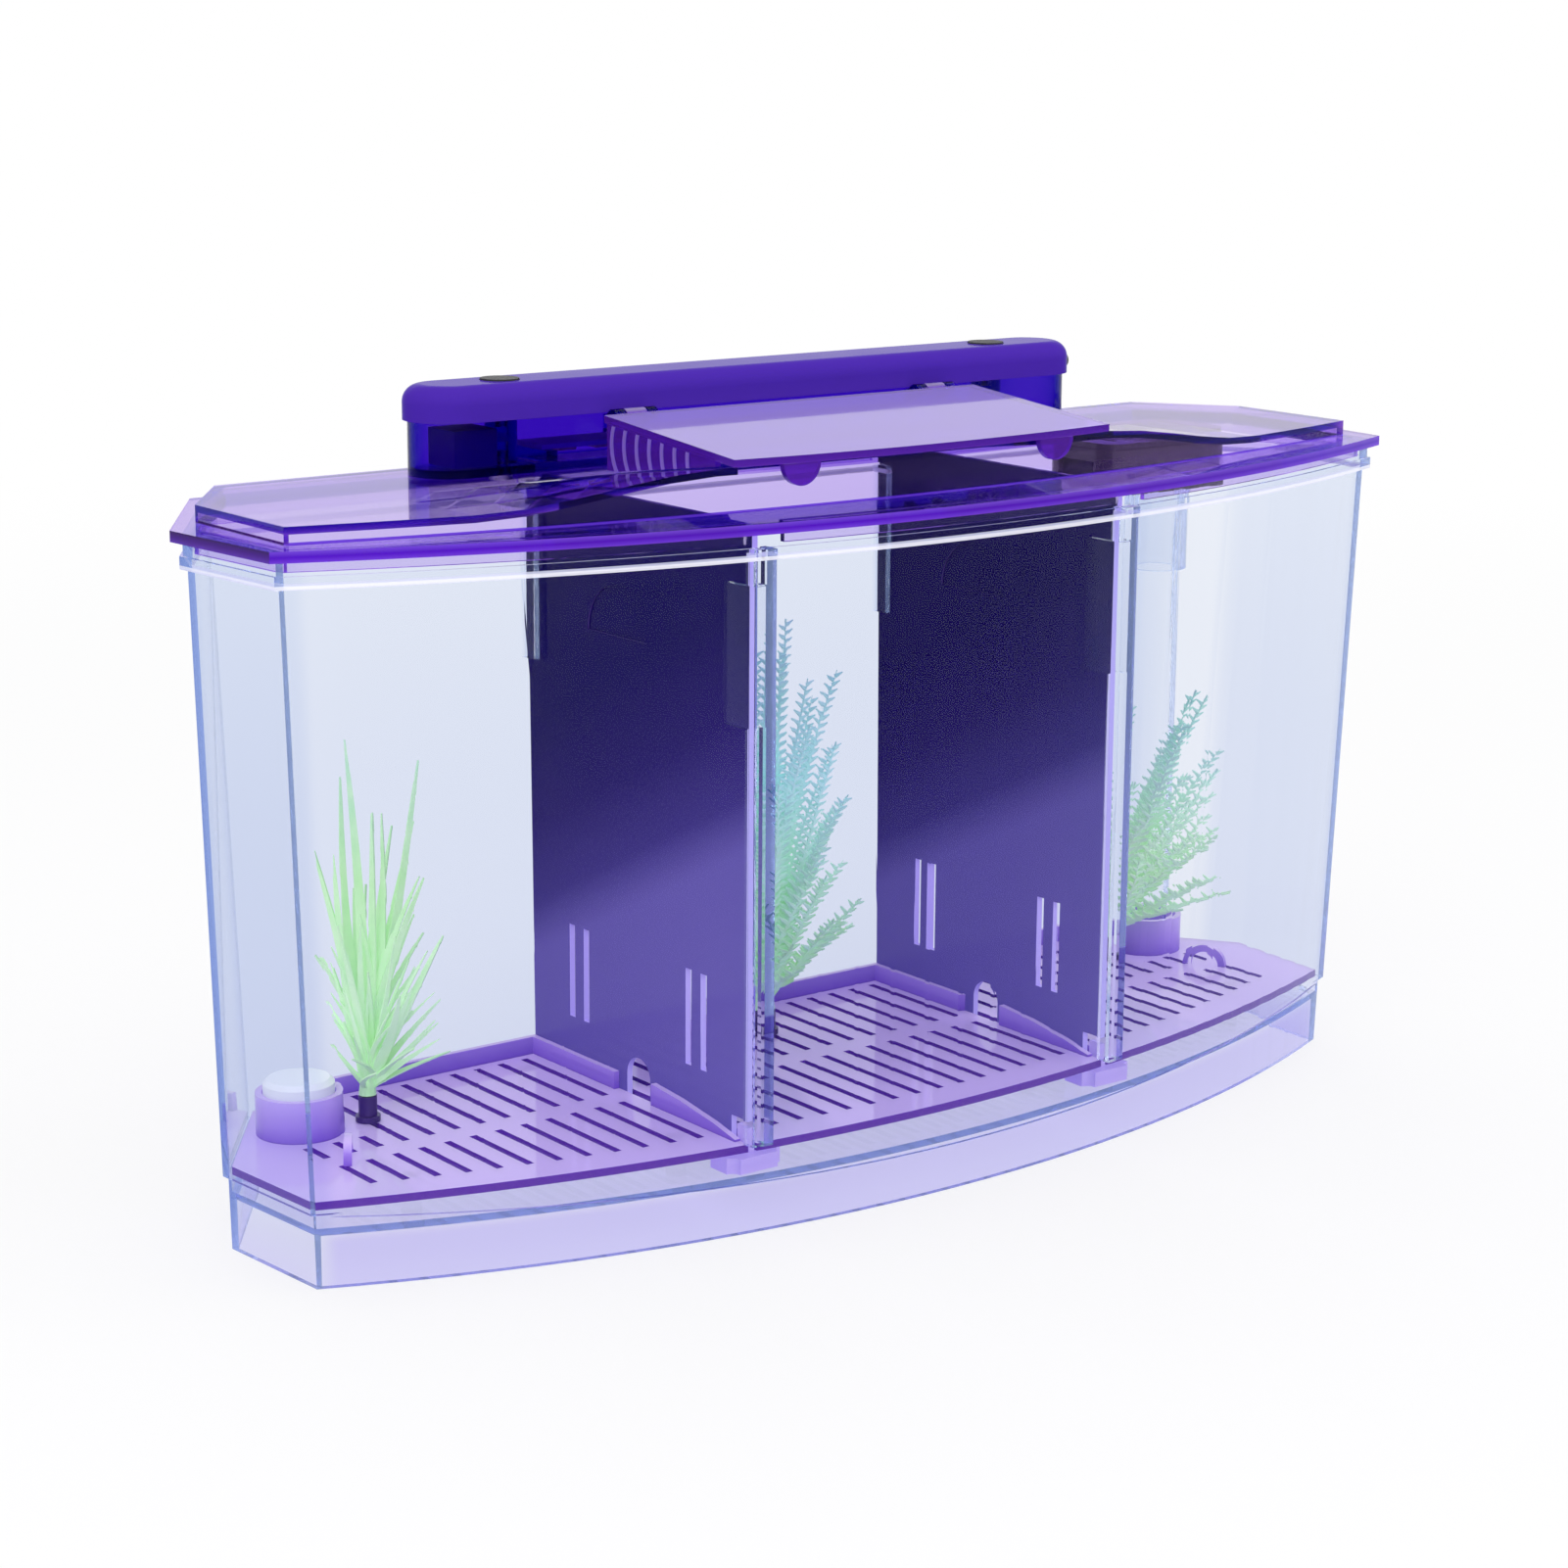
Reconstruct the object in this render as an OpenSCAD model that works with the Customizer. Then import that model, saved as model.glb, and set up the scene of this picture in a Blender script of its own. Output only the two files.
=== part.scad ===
// Three-compartment fish breeding box: a clear bow-front tank with two dark dividers,
// slotted floor plates, plastic plants and a violet lid that carries a feeding flap and a lamp hood.
// The origin is the middle of the base, X runs along the tank, -Y is the bowed front, Z is up.

/* [Tank] */
// Length of the tank wall at the rim, from front corner to front corner
tank_l = 341; // [330:1:360]
// Depth of the tank wall at the rim, from the bow to the back wall
tank_d = 107.5; // [104:0.5:118]
// Height of the tank without its lid
tank_h = 170.5; // [164:0.5:190]
// Rise of the bowed front at the rim
bow_rim = 32.5; // [28:0.5:36]
// Rise of the bowed front at the base
bow_base = 35; // [28:0.5:37]
// Length of an end panel from its front edge to its back edge
end_panel = 36; // [30:0.5:42]
// How much further out the back edge of an end panel stands
end_flare = 3; // [0:0.5:5]
// Length of the straight back wall at the rim
back_l = 296; // [280:1:312]
// How far each end leans in towards the base
end_draft = 5.8; // [3:0.2:8]
// How far the front and the back each lean in towards the base
face_draft = 2; // [0.5:0.1:3]
// Thickness of the clear walls
wall = 2.2; // [1.6:0.1:3]
// Height of the top of the tank floor above the table
floor_top = 14.5; // [12:0.5:18]
// Thickness of the tank floor
floor_t = 2.2; // [1.6:0.1:3]
// Height of the rim's outer band
rim_h = 6; // [4:0.5:8]
// How far the rim's outer band stands out
rim_out = 1.6; // [1:0.1:2.4]

/* [Base skirt] */
// Height of the step line at the ends
step_z = 18.5; // [17:0.5:24]
// How far the step line dips in the middle of the front
step_dip = 6.4; // [3:0.2:8]
// How far the skirt is set back below the step line
skirt_in = 1.2; // [0.6:0.1:1.6]

/* [Posts and guides] */
// Distance of each divider from the middle
divider_x = 57.4; // [50:0.5:64]
// Thickness of one guide rib
rib_t = 1.6; // [1.2:0.1:2.2]
// Depth of the front post, from the wall to the divider's edge
post_d = 4.2; // [3:0.1:6]
// Depth of the short front ribs beside a divider
front_guide_d = 8.6; // [5:0.2:10]
// Depth of the back ribs beside a divider
back_guide_d = 6.2; // [4:0.2:8]
// Height of the lower end of the short front ribs
front_guide_z = 123.5; // [100:0.5:130]
// Height of the upper end of the short front ribs
front_guide_top = 157.5; // [145:0.5:160]
// Height of the lower end of the back ribs
back_guide_z = 126; // [100:0.5:135]
// Diameter of the round boss on each post
boss_d = 4; // [3:0.1:5]

/* [Dividers] */
// Thickness of a divider
divider_t = 1.6; // [1.2:0.1:2.4]
// Gap between a divider and what guides it
divider_gap = 0.4; // [0.3:0.05:0.6]
// How far the divider's middle stands above the rim
divider_over = 1.5; // [0.5:0.1:3]
// Width of a drain slot in a divider
drain_w = 2.4; // [1.4:0.1:3]
// Distance of the front pair of drain slots from the divider's front edge
drain_front = 18.5; // [14:0.5:24]
// Distance of the rear pair of drain slots from the divider's front edge
drain_rear = 69; // [62:0.5:72]
// Distance between the two slots of a pair
drain_pitch = 6.3; // [5:0.1:8]
// Height of the lower end of the drain slots
drain_z = 34.5; // [32:0.5:44]
// Length of a drain slot
drain_l = 24.5; // [16:0.5:30]
// Width of the arch at a divider's foot
arch_w = 10; // [7:0.5:12]
// Height of the arch's crown above the table
arch_top = 30.7; // [28:0.5:32]
// Radius of the half-round finger grip
grip_r = 12.6; // [8:0.2:16]
// Depth of the finger grip
grip_deep = 0.5; // [0.3:0.05:0.7]
// Height of the middle of the finger grip
grip_z = 137; // [120:0.5:145]

/* [Floor plates] */
// Height of the top of the floor plates above the table
plate_top = 20.8; // [19.5:0.2:23]
// Thickness of a floor plate
plate_t = 2; // [1.6:0.1:2.6]
// Gap between a floor plate and the walls
plate_gap = 0.6; // [0.4:0.1:1]
// Rise of the plates' bowed front edge
plate_bow = 31; // [27:0.5:33]
// Width of a slot
slot_w = 2; // [1.4:0.1:2.8]
// Distance from one slot to the next
slot_pitch = 7.3; // [6:0.1:9]
// Set-back of the slots from the bowed edge
slot_front = 10; // [7:0.5:14]
// Y of the bar between the front slots and the back slots
slot_bar_y = 4.5; // [0:0.5:8]
// Width of that bar
slot_bar_w = 6.6; // [4:0.2:9]
// Height of the raised edge above a plate
curb_h = 4.6; // [3:0.2:5]
// Thickness of the raised edge
curb_t = 1.6; // [1.2:0.1:2]
// Diameter of a plate's leg
leg_d = 5; // [4:0.2:7]

/* [Sockets, caps and lift tube] */
// Distance of the outer sockets from the tank's slanted ends
socket_end = 24.2; // [22:0.2:28]
// Distance of all sockets from the back wall
socket_back = 24.8; // [22.8:0.2:28]
// X of the middle plate's socket
socket_mid_x = -28; // [-36:0.5:-24]
// Outer diameter of a socket
socket_d = 20.6; // [19:0.2:21.6]
// Wall of a socket
socket_wall = 1.6; // [1.2:0.1:2]
// Height of a socket above its plate
socket_h = 10.4; // [8:0.2:13]
// Running gap between a socket and what sits in it
socket_gap = 0.3; // [0.2:0.05:0.5]
// How far a cap stands above its socket
cap_over = 3.4; // [2:0.2:5]
// Wall of a cap
cap_wall = 1.6; // [1.2:0.1:2]
// Outer diameter of the lift tube
tube_d = 13.4; // [11:0.2:14]
// Wall of the lift tube
tube_wall = 1.2; // [0.8:0.1:1.6]
// Height of the tube collar's lower edge
collar_z = 133; // [120:0.5:140]
// Outer diameter of the tube collar
collar_d = 17; // [16:0.2:19]

/* [Filter head] */
// Length of the filter head
head_l = 46; // [40:0.5:48]
// Depth of the filter head
head_d = 27; // [24:0.5:28]
// Height of the filter head
head_h = 14; // [12:0.5:16]
// Wall of the filter head
head_wall = 1.6; // [1.2:0.1:2]
// Gap between the filter head and the lid above it
head_gap = 3.2; // [2:0.2:5]

/* [Lid] */
// Gap between the rim and the lid at rest
lid_gap = 0.3; // [0.2:0.05:0.5]
// Thickness of the lid's flange
flange_t = 2.6; // [2:0.1:3.2]
// How far the lid's flange stands out past the tank wall
lid_over = 3.5; // [2.6:0.1:4.5]
// Height of the raised panel above the flange
panel_h = 4; // [3.4:0.1:6]
// Wall of the raised panel
lid_wall = 2; // [1.6:0.1:2.4]
// Set-back of the raised panel from the flange at the ends
panel_end = 7.6; // [6:0.2:12]
// Set-back of the raised panel's front corners from the flange's front corners
panel_corner = 6; // [4:0.2:10]
// Rise of the raised panel's bowed front
panel_bow = 21; // [16:0.5:24]
// Set-back of the raised panel from the flange at the back
panel_back = 9; // [7:0.2:12]
// Height of the raised lip under the flap above the panel
scoop_h = 6.6; // [5:0.2:8]
// X where the rise to the lip begins
scoop_out = 122; // [105:1:135]
// Depth of the lid's locating lip below the flange
lip_h = 3; // [2:0.2:4]
// Thickness of the locating lip
lip_t = 1.4; // [1:0.1:2]
// Gap between the locating lip and the tank wall
lip_gap = 0.5; // [0.3:0.1:1]

/* [Feeding flap] */
// Width of the feeding flap
flap_w = 118; // [112:0.5:124]
// Thickness of the flap
flap_t = 1.8; // [1.4:0.1:2.2]
// How far the flap's front edge stands ahead of the lip
flap_over = 2.6; // [1.5:0.1:3.5]
// Gap between the flap and the lid when shut
flap_gap = 0.4; // [0.3:0.05:0.6]
// Rise of the flap from its front edge to its hinge
flap_rise = 5; // [3:0.2:6]
// Thickness of the flap's side cheeks
cheek_t = 1.6; // [1.2:0.1:2]
// Number of curved ribs on each cheek
cheek_ribs = 7; // [4:1:9]
// Width of a finger tab
tab_w = 11; // [8:0.5:13]
// Distance of the finger tabs from the middle
tab_x = 40; // [30:0.5:46]
// Drop of a finger tab below the flap
tab_h = 6.4; // [4:0.2:7]

/* [Flap hinge] */
// Diameter of the hinge pin
pin_d = 2; // [1.6:0.1:2.4]
// Radial running gap at the hinge pin
pin_gap = 0.06; // [0.03:0.01:0.1]
// Diameter of the hinge knuckles
knuckle_d = 4.4; // [4:0.1:5]
// Width of one knuckle
knuckle_w = 6; // [4:0.2:8]
// Distance of the middle of each hinge from the middle of the flap
hinge_x = 48; // [40:0.5:50]
// Gap between knuckles along the pin
knuckle_gap = 0.3; // [0.2:0.05:0.5]
// Distance from the hood's front face to the pin
hinge_ahead = 4; // [3.6:0.1:5]

/* [Lamp hood] */
// Length of the hood's cap
hood_l = 208; // [200:1:220]
// Width of the hood's cap
hood_w = 22; // [21:0.5:24]
// Height of the hood above the lid's panel
hood_h = 22; // [20:0.5:26]
// Height of the cap
cap_h = 8.6; // [7:0.2:10]
// Rounding of the cap's upper edge
cap_round = 4.4; // [3:0.2:5]
// Wall of the hood
hood_wall = 1.8; // [1.4:0.1:2.2]
// How far the cap stands out past the body
cap_out = 1.2; // [0.8:0.1:1.6]
// Set-back of the hood from the back of the raised panel
hood_back = 5; // [3.5:0.1:7]
// Distance of the two hood screws from the middle
screw_x = 78; // [76:0.5:82]
// Diameter of a screw's shank
screw_d = 3; // [2.5:0.1:3.5]
// Length of a screw's shank
screw_l = 7; // [6:0.2:7.4]
// Height of a screw's head
screw_head = 1.8; // [1.2:0.1:1.8]
// Diameter of a rubber plug over a screw
plug_d = 9.6; // [8:0.2:10.4]

/* [Lamp] */
// Length of the lamp's circuit board
board_l = 140; // [110:1:146]
// Width of the circuit board
board_w = 12; // [9:0.5:13]
// Thickness of the circuit board
board_t = 1.2; // [0.8:0.1:1.6]
// Number of lamps
led_n = 12; // [6:1:14]
// Length of the light window
lens_l = 144; // [120:1:146]
// Width of the light window
lens_w = 11; // [8:0.5:12]
// Length of the driver box
driver_l = 12; // [9:0.5:13]
// Diameter of the cable gland
gland_d = 4; // [3:0.1:5]
// How far the cable gland stands out of the hood
gland_out = 2.6; // [2:0.2:4]

/* [Plants] */
// Height of the left plant's leaves
plant_l_h = 89; // [60:1:95]
// Height of the middle plant's leaves
plant_m_h = 104; // [60:1:110]
// Height of the right plant's leaves
plant_r_h = 72; // [50:1:90]
// Number of leaves on a plant
leaf_n = 13; // [6:1:16]
// Reach of the leaves to each side
leaf_reach = 18; // [12:0.5:19]
// Radius of a leaf at its root
leaf_r = 1.2; // [0.8:0.1:1.4]
// Distance of all plants from the back wall
plant_back = 27.8; // [26:0.2:32]
// Diameter of a plant's foot
foot_d = 6; // [5:0.5:7]
// Height of a plant's foot above its plate
foot_h = 6.4; // [5:0.2:8]

/* [Hidden] */

eps = 0.01;
seat = 0.2;          // gap under a piece that stands on another
bow_n = 32;          // straight stretches in a bow
round_n = 48;

// Plan of the tank at the rim and at the base
half_rim = tank_l / 2;
back_y = tank_d / 2;
corner_y = bow_rim - tank_d / 2;
rim_plan = plan(half_rim, corner_y, bow_rim, end_flare, back_l / 2, back_y);
base_plan = plan(half_rim - end_draft, corner_y + face_draft, bow_base,
                 end_flare, back_l / 2 - end_draft, back_y - face_draft);

// Sockets and plants, placed from the tank's walls
socket_y = back_y - socket_back;
slant = (socket_y - corner_y - end_panel) / (back_y - corner_y - end_panel);
socket_x = (half_rim + end_flare) * (1 - slant) + back_l / 2 * slant - socket_end;
plant_room = socket_x - socket_d / 2 - foot_d / 2 - 2 - divider_x;
plant_x = divider_x + floor(plant_room / slot_pitch) * slot_pitch;
plant_y = back_y - plant_back;

// Heights that stack up from the tank
lid_z = tank_h + lid_gap;
flange_top = lid_z + flange_t;
panel_top = flange_top + panel_h;
panel_under = panel_top - lid_wall;
plate_z = plate_top - plate_t;

// The raised panel of the lid
flange_half = half_rim + lid_over;
flange_corner_y = corner_y - lid_over * 0.5;
panel_half = flange_half - panel_end;
panel_corner_y = flange_corner_y + panel_corner;
panel_back_y = back_y + lid_over - panel_back;
panel_side_y = panel_corner_y + end_panel + panel_corner * 0.75;
panel_back_half = back_l / 2;

// The lamp hood
body_l = hood_l - 2 * cap_out;
body_w = hood_w - 2 * cap_out;
hood_y = panel_back_y - hood_back - hood_w / 2;
hood_z = panel_top + seat;
cap_z = hood_z + hood_h - cap_h;
hood_front = hood_y - body_w / 2;

// The feeding flap and its hinge
hinge_y = hood_front - hinge_ahead;
scoop_in = flap_w / 2;
scoop_back = hinge_y - 7.5;
scoop_top = panel_top + scoop_h;
flap_front_z = scoop_top + flap_gap + flap_t;
flap_front = front_of(0, panel_half, panel_corner_y, panel_bow) - flap_over;
flap_edge = front_of(flap_w / 2, panel_half, panel_corner_y, panel_bow) - flap_over;
flap_back = hinge_y - 3.4;
hinge_z = flap_front_z + flap_rise - 1.4;
hole_half = scoop_in - 5;

// The filter head
head_top = panel_under - head_gap;
head_z = head_top - head_h;
head_x = socket_x - head_l / 2 + 9;
head_y = socket_y - 6;
tube_z = plate_top + seat;

// Colours
clear = [0.86, 0.90, 0.97, 0.35];
violet = [0.42, 0.22, 0.82, 0.7];
pale_violet = [0.66, 0.52, 0.92, 0.7];
deep_violet = [0.22, 0.08, 0.62, 0.9];
dark_violet = [0.13, 0.05, 0.38, 0.9];
smoke = [0.30, 0.27, 0.30, 0.8];
green = [0.55, 0.92, 0.50];
teal = [0.42, 0.78, 0.72];
steel = [0.75, 0.76, 0.78];
black = [0.05, 0.05, 0.06];

// y of a bow at x, for a bow from (-half, corner) to (half, corner)
function bow_r(half, bow) = (half * half + bow * bow) / (2 * bow);
function front_of(x, half, corner, bow) =
    corner - bow + bow_r(half, bow) - sqrt(pow(bow_r(half, bow), 2) - x * x);

// Outline of the tank seen from above, anticlockwise from the left front corner
function bow_points(half, corner, bow) = [
    for (i = [0:bow_n])
        let (a = asin(half / bow_r(half, bow)) * (2 * i / bow_n - 1))
        [bow_r(half, bow) * sin(a), corner - bow + bow_r(half, bow) * (1 - cos(a))]
];
function plan(half, corner, bow, flare, back_half, back) = concat(
    bow_points(half, corner, bow),
    [[half + flare, corner + end_panel], [back_half, back],
     [-back_half, back], [-half - flare, corner + end_panel]]
);
function mix_plan(a, b, t) = [for (i = [0:len(a) - 1]) a[i] * (1 - t) + b[i] * t];
function tank_plan(z) = mix_plan(base_plan, rim_plan, z / tank_h);

// Moves every side of an anticlockwise outline outwards by d
function out_of(p, q) = [q[1] - p[1], p[0] - q[0]] / norm(q - p);
function grow(p, d) = [
    for (i = [0:len(p) - 1])
        let (n = len(p), u = out_of(p[(i + n - 1) % n], p[i]), v = out_of(p[i], p[(i + 1) % n]))
        p[i] + d * (u + v) / (1 + u * v)
];

// Inner faces of the tank at a height
function blend_at(z, base, rim) = base + (rim - base) * z / tank_h;
function wall_front(x, z) = wall + blend_at(z,
    front_of(x, half_rim - end_draft, corner_y + face_draft, bow_base),
    front_of(x, half_rim, corner_y, bow_rim));
function wall_back(z) = blend_at(z, back_y - face_draft, back_y) - wall;

// Height of the raised panel's surface
function smooth(t) = let (s = min(1, max(0, t))) s * s * (3 - 2 * s);
function scoop_ramp(x) = smooth((scoop_out - abs(x)) / (scoop_out - scoop_in));
function panel_front(x) = front_of(x, panel_half, panel_corner_y, panel_bow);
function panel_back_at(x) = min(panel_back_y,
    panel_side_y + (panel_half - abs(x)) * (panel_back_y - panel_side_y) / (panel_half - panel_back_half));
function scoop_at(x, y) = panel_top + scoop_h * scoop_ramp(x)
    * min(1, max(0, (scoop_back - y) / (scoop_back - panel_front(x))));

module slab(points, z, h) {
    translate([0, 0, z])
        linear_extrude(h)
            polygon(points);
}

module loft(low, z_low, high, z_high) {
    hull() {
        slab(low, z_low, eps);
        slab(high, z_high - eps, eps);
    }
}

module box_at(low, high) {
    translate(low)
        cube(high - low);
}

module stadium(l, w, z, h) {
    translate([0, 0, z])
        linear_extrude(h) {
            square([l - w, w], center = true);
            for (side = [-1, 1])
                translate([side * (l - w) / 2, 0])
                    circle(d = w, $fn = round_n);
        }
}

module rounded_half(r, h, fillet) {
    intersection() {
        square([r, h]);
        union() {
            square([r - fillet, h]);
            square([r, h - fillet]);
            translate([r - fillet, h - fillet])
                circle(r = fillet, $fn = round_n);
        }
    }
}

// A stadium-shaped block whose upper edge is rounded
module rounded_bar(l, w, h, fillet) {
    for (side = [-1, 1])
        translate([side * (l - w) / 2, 0, 0])
            rotate_extrude($fn = round_n)
                rounded_half(w / 2, h, fillet);
    rotate([90, 0, 90])
        linear_extrude(l - w, center = true)
            for (side = [0, 1])
                mirror([side, 0])
                    rounded_half(w / 2, h, fillet);
}

module ring(d_out, d_in, z, h) {
    translate([0, 0, z])
        difference() {
            cylinder(d = d_out, h = h, $fn = round_n);
            translate([0, 0, -1])
                cylinder(d = d_in, h = h + 2, $fn = round_n);
        }
}

// ---- tank ----

module step_line(z_side) {
    // Area of the X-Z plane below the step line, drawn for the bowed front
    half = half_rim + end_flare + 10;
    polygon(concat(
        [[-half, -1]], [[-half, z_side]],
        [for (i = [0:16]) let (x = half_rim * (i / 8 - 1))
            [x, z_side - step_dip * (1 - pow(x / half_rim, 2))]],
        [[half, z_side]], [[half, -1]]
    ));
}

module skirt_cut() {
    deep = tank_d + 20;
    difference() {
        union() {
            translate([0, corner_y, 0])
                rotate([90, 0, 0])
                    linear_extrude(deep)
                        step_line(step_z);
            box_at([-tank_l, corner_y - eps, -1], [tank_l, deep, step_z]);
        }
        loft(grow(base_plan, -skirt_in), -2, grow(tank_plan(step_z), -skirt_in), step_z + 1);
    }
}

guide_gap = divider_t + 2 * divider_gap;
guide_top = tank_h - lip_h - 1;
function rib_low(x, side) = x + side * (guide_gap + rib_t) / 2 - rib_t / 2;

module front_post(x) {
    y_wall = wall_front(x, tank_h / 2);
    y_face = y_wall + post_d;
    post_z = plate_top + 0.4;
    for (side = [-1, 1]) {
        box_at([rib_low(x, side), y_wall - wall / 2, post_z], [rib_low(x, side) + rib_t, y_face, guide_top]);
        box_at([rib_low(x, side), y_wall, front_guide_z],
               [rib_low(x, side) + rib_t, y_face + front_guide_d, front_guide_top]);
    }
    box_at([x - guide_gap / 2, y_wall - wall / 2, post_z],
           [x + guide_gap / 2, y_wall + post_d / 2, guide_top]);
    translate([x, y_wall + boss_d / 4, front_guide_top])
        cylinder(d = boss_d, h = guide_top - front_guide_top, $fn = round_n);
}

module back_guide(x) {
    y = wall_back(tank_h);
    for (side = [-1, 1])
        box_at([rib_low(x, side), y - back_guide_d, back_guide_z],
               [rib_low(x, side) + rib_t, y + wall / 2, guide_top]);
}

module tank_body() {
    color(clear) {
        difference() {
            union() {
                loft(base_plan, 0, rim_plan, tank_h);
                slab(grow(rim_plan, rim_out), tank_h - rim_h, rim_h / 2);
                slab(grow(rim_plan, rim_out / 2), tank_h - rim_h / 2, rim_h / 2);
            }
            loft(grow(tank_plan(floor_top), -wall), floor_top,
                 grow(tank_plan(tank_h + 2), -wall), tank_h + 2);
            slab(grow(base_plan, -wall - skirt_in), -1, floor_top - floor_t + 1);
            skirt_cut();
        }
        for (side = [-1, 1]) {
            front_post(side * divider_x);
            back_guide(side * divider_x);
        }
    }
}

// ---- dividers ----

module divider(x) {
    low = floor_top + seat;
    high = tank_h + divider_over;
    shoulder = tank_h - 1;
    front = wall_front(divider_x, tank_h / 2) + post_d + divider_gap;
    back_low = wall_back(low) - divider_gap;
    back_high = wall_back(shoulder) - divider_gap;
    tab_front = panel_front(divider_x) + lid_wall + 3;
    tab_back = panel_back_y - lid_wall - 3;
    clip_end = front + 7;
    drains = [for (start = [drain_front, drain_rear], step = [0, drain_pitch]) front + start + step];
    arch_y = front + 46;
    grip_y = front + 55;
    color(dark_violet)
        translate([x, 0, 0])
            difference() {
                rotate([90, 0, 90])
                    linear_extrude(divider_t, center = true)
                        polygon([
                            [clip_end, low], [back_low, low], [back_high, shoulder],
                            [tab_back + 3, shoulder], [tab_back, high], [tab_front, high],
                            [tab_front - 3, shoulder], [front, shoulder],
                            [front, plate_top + curb_h + 1], [clip_end, plate_top + curb_h + 1]
                        ]);
                for (y = drains)
                    box_at([-divider_t, y - drain_w / 2, drain_z],
                           [divider_t, y + drain_w / 2, drain_z + drain_l]);
                box_at([-divider_t, arch_y - arch_w / 2, 0],
                       [divider_t, arch_y + arch_w / 2, arch_top - arch_w / 2]);
                translate([0, arch_y, arch_top - arch_w / 2])
                    rotate([0, 90, 0])
                        cylinder(d = arch_w, h = 2 * divider_t, center = true, $fn = round_n);
                for (side = [-1, 1])
                    translate([side * divider_t / 2, grip_y, grip_z])
                        intersection() {
                            rotate([0, 90, 0])
                                cylinder(r = grip_r, h = 2 * grip_deep, center = true, $fn = round_n);
                            translate([0, 0, grip_r])
                                cube(2 * grip_r, center = true);
                        }
            }
}

// ---- floor plates ----

module plate_field(x_low, x_high) {
    inner = grow(tank_plan(plate_z), -wall - plate_gap);
    intersection() {
        polygon(inner);
        polygon(concat(
            bow_points(plate_half, plate_corner_y, plate_bow),
            [[half_rim, back_y], [-half_rim, back_y]]));
        translate([x_low, -tank_d])
            square([x_high - x_low, 2 * tank_d]);
    }
}

plate_half = half_rim - end_draft;
plate_corner_y = corner_y + face_draft + wall + plate_gap;
function plate_front(x) = front_of(x, plate_half, plate_corner_y, plate_bow);

module slot(x, y_low, y_high) {
    box_at([x - slot_w / 2, y_low, plate_z - 1], [x + slot_w / 2, y_high, plate_top + 1]);
}

module slot_row(x, socket) {
    // One front slot and one back slot, the back one cut short in front of the socket
    near = abs(x - socket) < socket_d / 2 + slot_w;
    front_end = plate_front(x) + slot_front;
    bar_front = slot_bar_y - slot_bar_w / 2;
    bar_back = slot_bar_y + slot_bar_w / 2;
    back_end = near ? socket_y - socket_d / 2 - 2 : wall_back(plate_z) - 4.6;
    if (bar_front - front_end > 5)
        slot(x, front_end, bar_front);
    if (back_end - bar_back > 3)
        slot(x, bar_back, back_end);
}

module side_curb(x, side) {
    // Raised edge beside a divider, left open round the divider's arch
    front = wall_front(divider_x, tank_h / 2) + post_d + divider_gap;
    arch_y = front + 46;
    open = arch_w / 2 + 3;
    back_end = wall_back(plate_z) - plate_gap;
    low = side > 0 ? x - curb_t : x;
    translate([low, 0, plate_top - eps])
        rotate([90, 0, 90])
            linear_extrude(curb_t) {
                polygon([[arch_y + open, 0], [back_end, 0], [back_end, curb_h], [arch_y + open, curb_h]]);
                polygon([[front + 3, 0], [arch_y - open, 0], [arch_y - open, curb_h + 1],
                         [arch_y - open - 12, curb_h], [arch_y - open - 26, curb_h * 0.55],
                         [front + 3, 0.6]]);
            }
}

module back_curb(x_low, x_high) {
    y = wall_back(plate_z) - plate_gap;
    box_at([x_low, y - curb_t, plate_top - eps], [x_high, y, plate_top + curb_h]);
}

module floor_plate(x_low, x_high, slots, socket, legs) {
    back_x = back_l / 2 - end_draft - 4;
    front = wall_front(divider_x, tank_h / 2) + post_d;
    difference() {
        union() {
            translate([0, 0, plate_z])
                linear_extrude(plate_t)
                    plate_field(x_low, x_high);
            back_curb(max(x_low, -back_x), min(x_high, back_x));
            if (x_low > -divider_x - 5)
                side_curb(x_low, -1);
            if (x_high < divider_x + 5)
                side_curb(x_high, 1);
            translate([socket, socket_y, 0])
                cylinder(d = socket_d, h = plate_top + socket_h, $fn = round_n);
            for (p = legs)
                translate([p[0], p[1], floor_top + seat])
                    cylinder(d = leg_d, h = plate_z - floor_top - seat + eps, $fn = round_n);
        }
        for (x = slots)
            slot_row(x, socket);
        translate([socket, socket_y, plate_top])
            cylinder(d = socket_d - 2 * socket_wall, h = socket_h + 1, $fn = round_n);
        translate([socket, socket_y, -1])
            cylinder(d = socket_d - 2 * socket_wall - 4, h = plate_top + 2, $fn = round_n);
        translate([socket, socket_y, -1])
            cylinder(d = socket_d + 1, h = plate_z + 1, $fn = round_n);
    }
}

// Loop at the end of an outer plate, for lifting it out
module lift_loop(side) {
    r = 6;
    translate([side * (socket_x + 1), socket_y - 24, plate_top])
        rotate([0, 0, side * -58])
            intersection() {
                rotate([90, 0, 0])
                    difference() {
                        cylinder(r = r, h = 2, center = true, $fn = round_n);
                        cylinder(r = r - 2, h = 3, center = true, $fn = round_n);
                    }
                translate([0, 0, r - eps])
                    cube([4 * r, 4 * r, 2 * r], center = true);
            }
}

slot_in = divider_x + slot_pitch;
slot_far = half_rim - end_draft - wall - 14;
outer_slots = [for (i = [0:floor((slot_far - slot_in) / slot_pitch)]) slot_in + i * slot_pitch];
middle_n = floor((divider_x - 6) / slot_pitch);
middle_slots = [for (i = [-middle_n:middle_n]) i * slot_pitch];
plate_edge = divider_t / 2 + divider_gap;
leg_front = wall_front(divider_x, plate_z) + 22;

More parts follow.
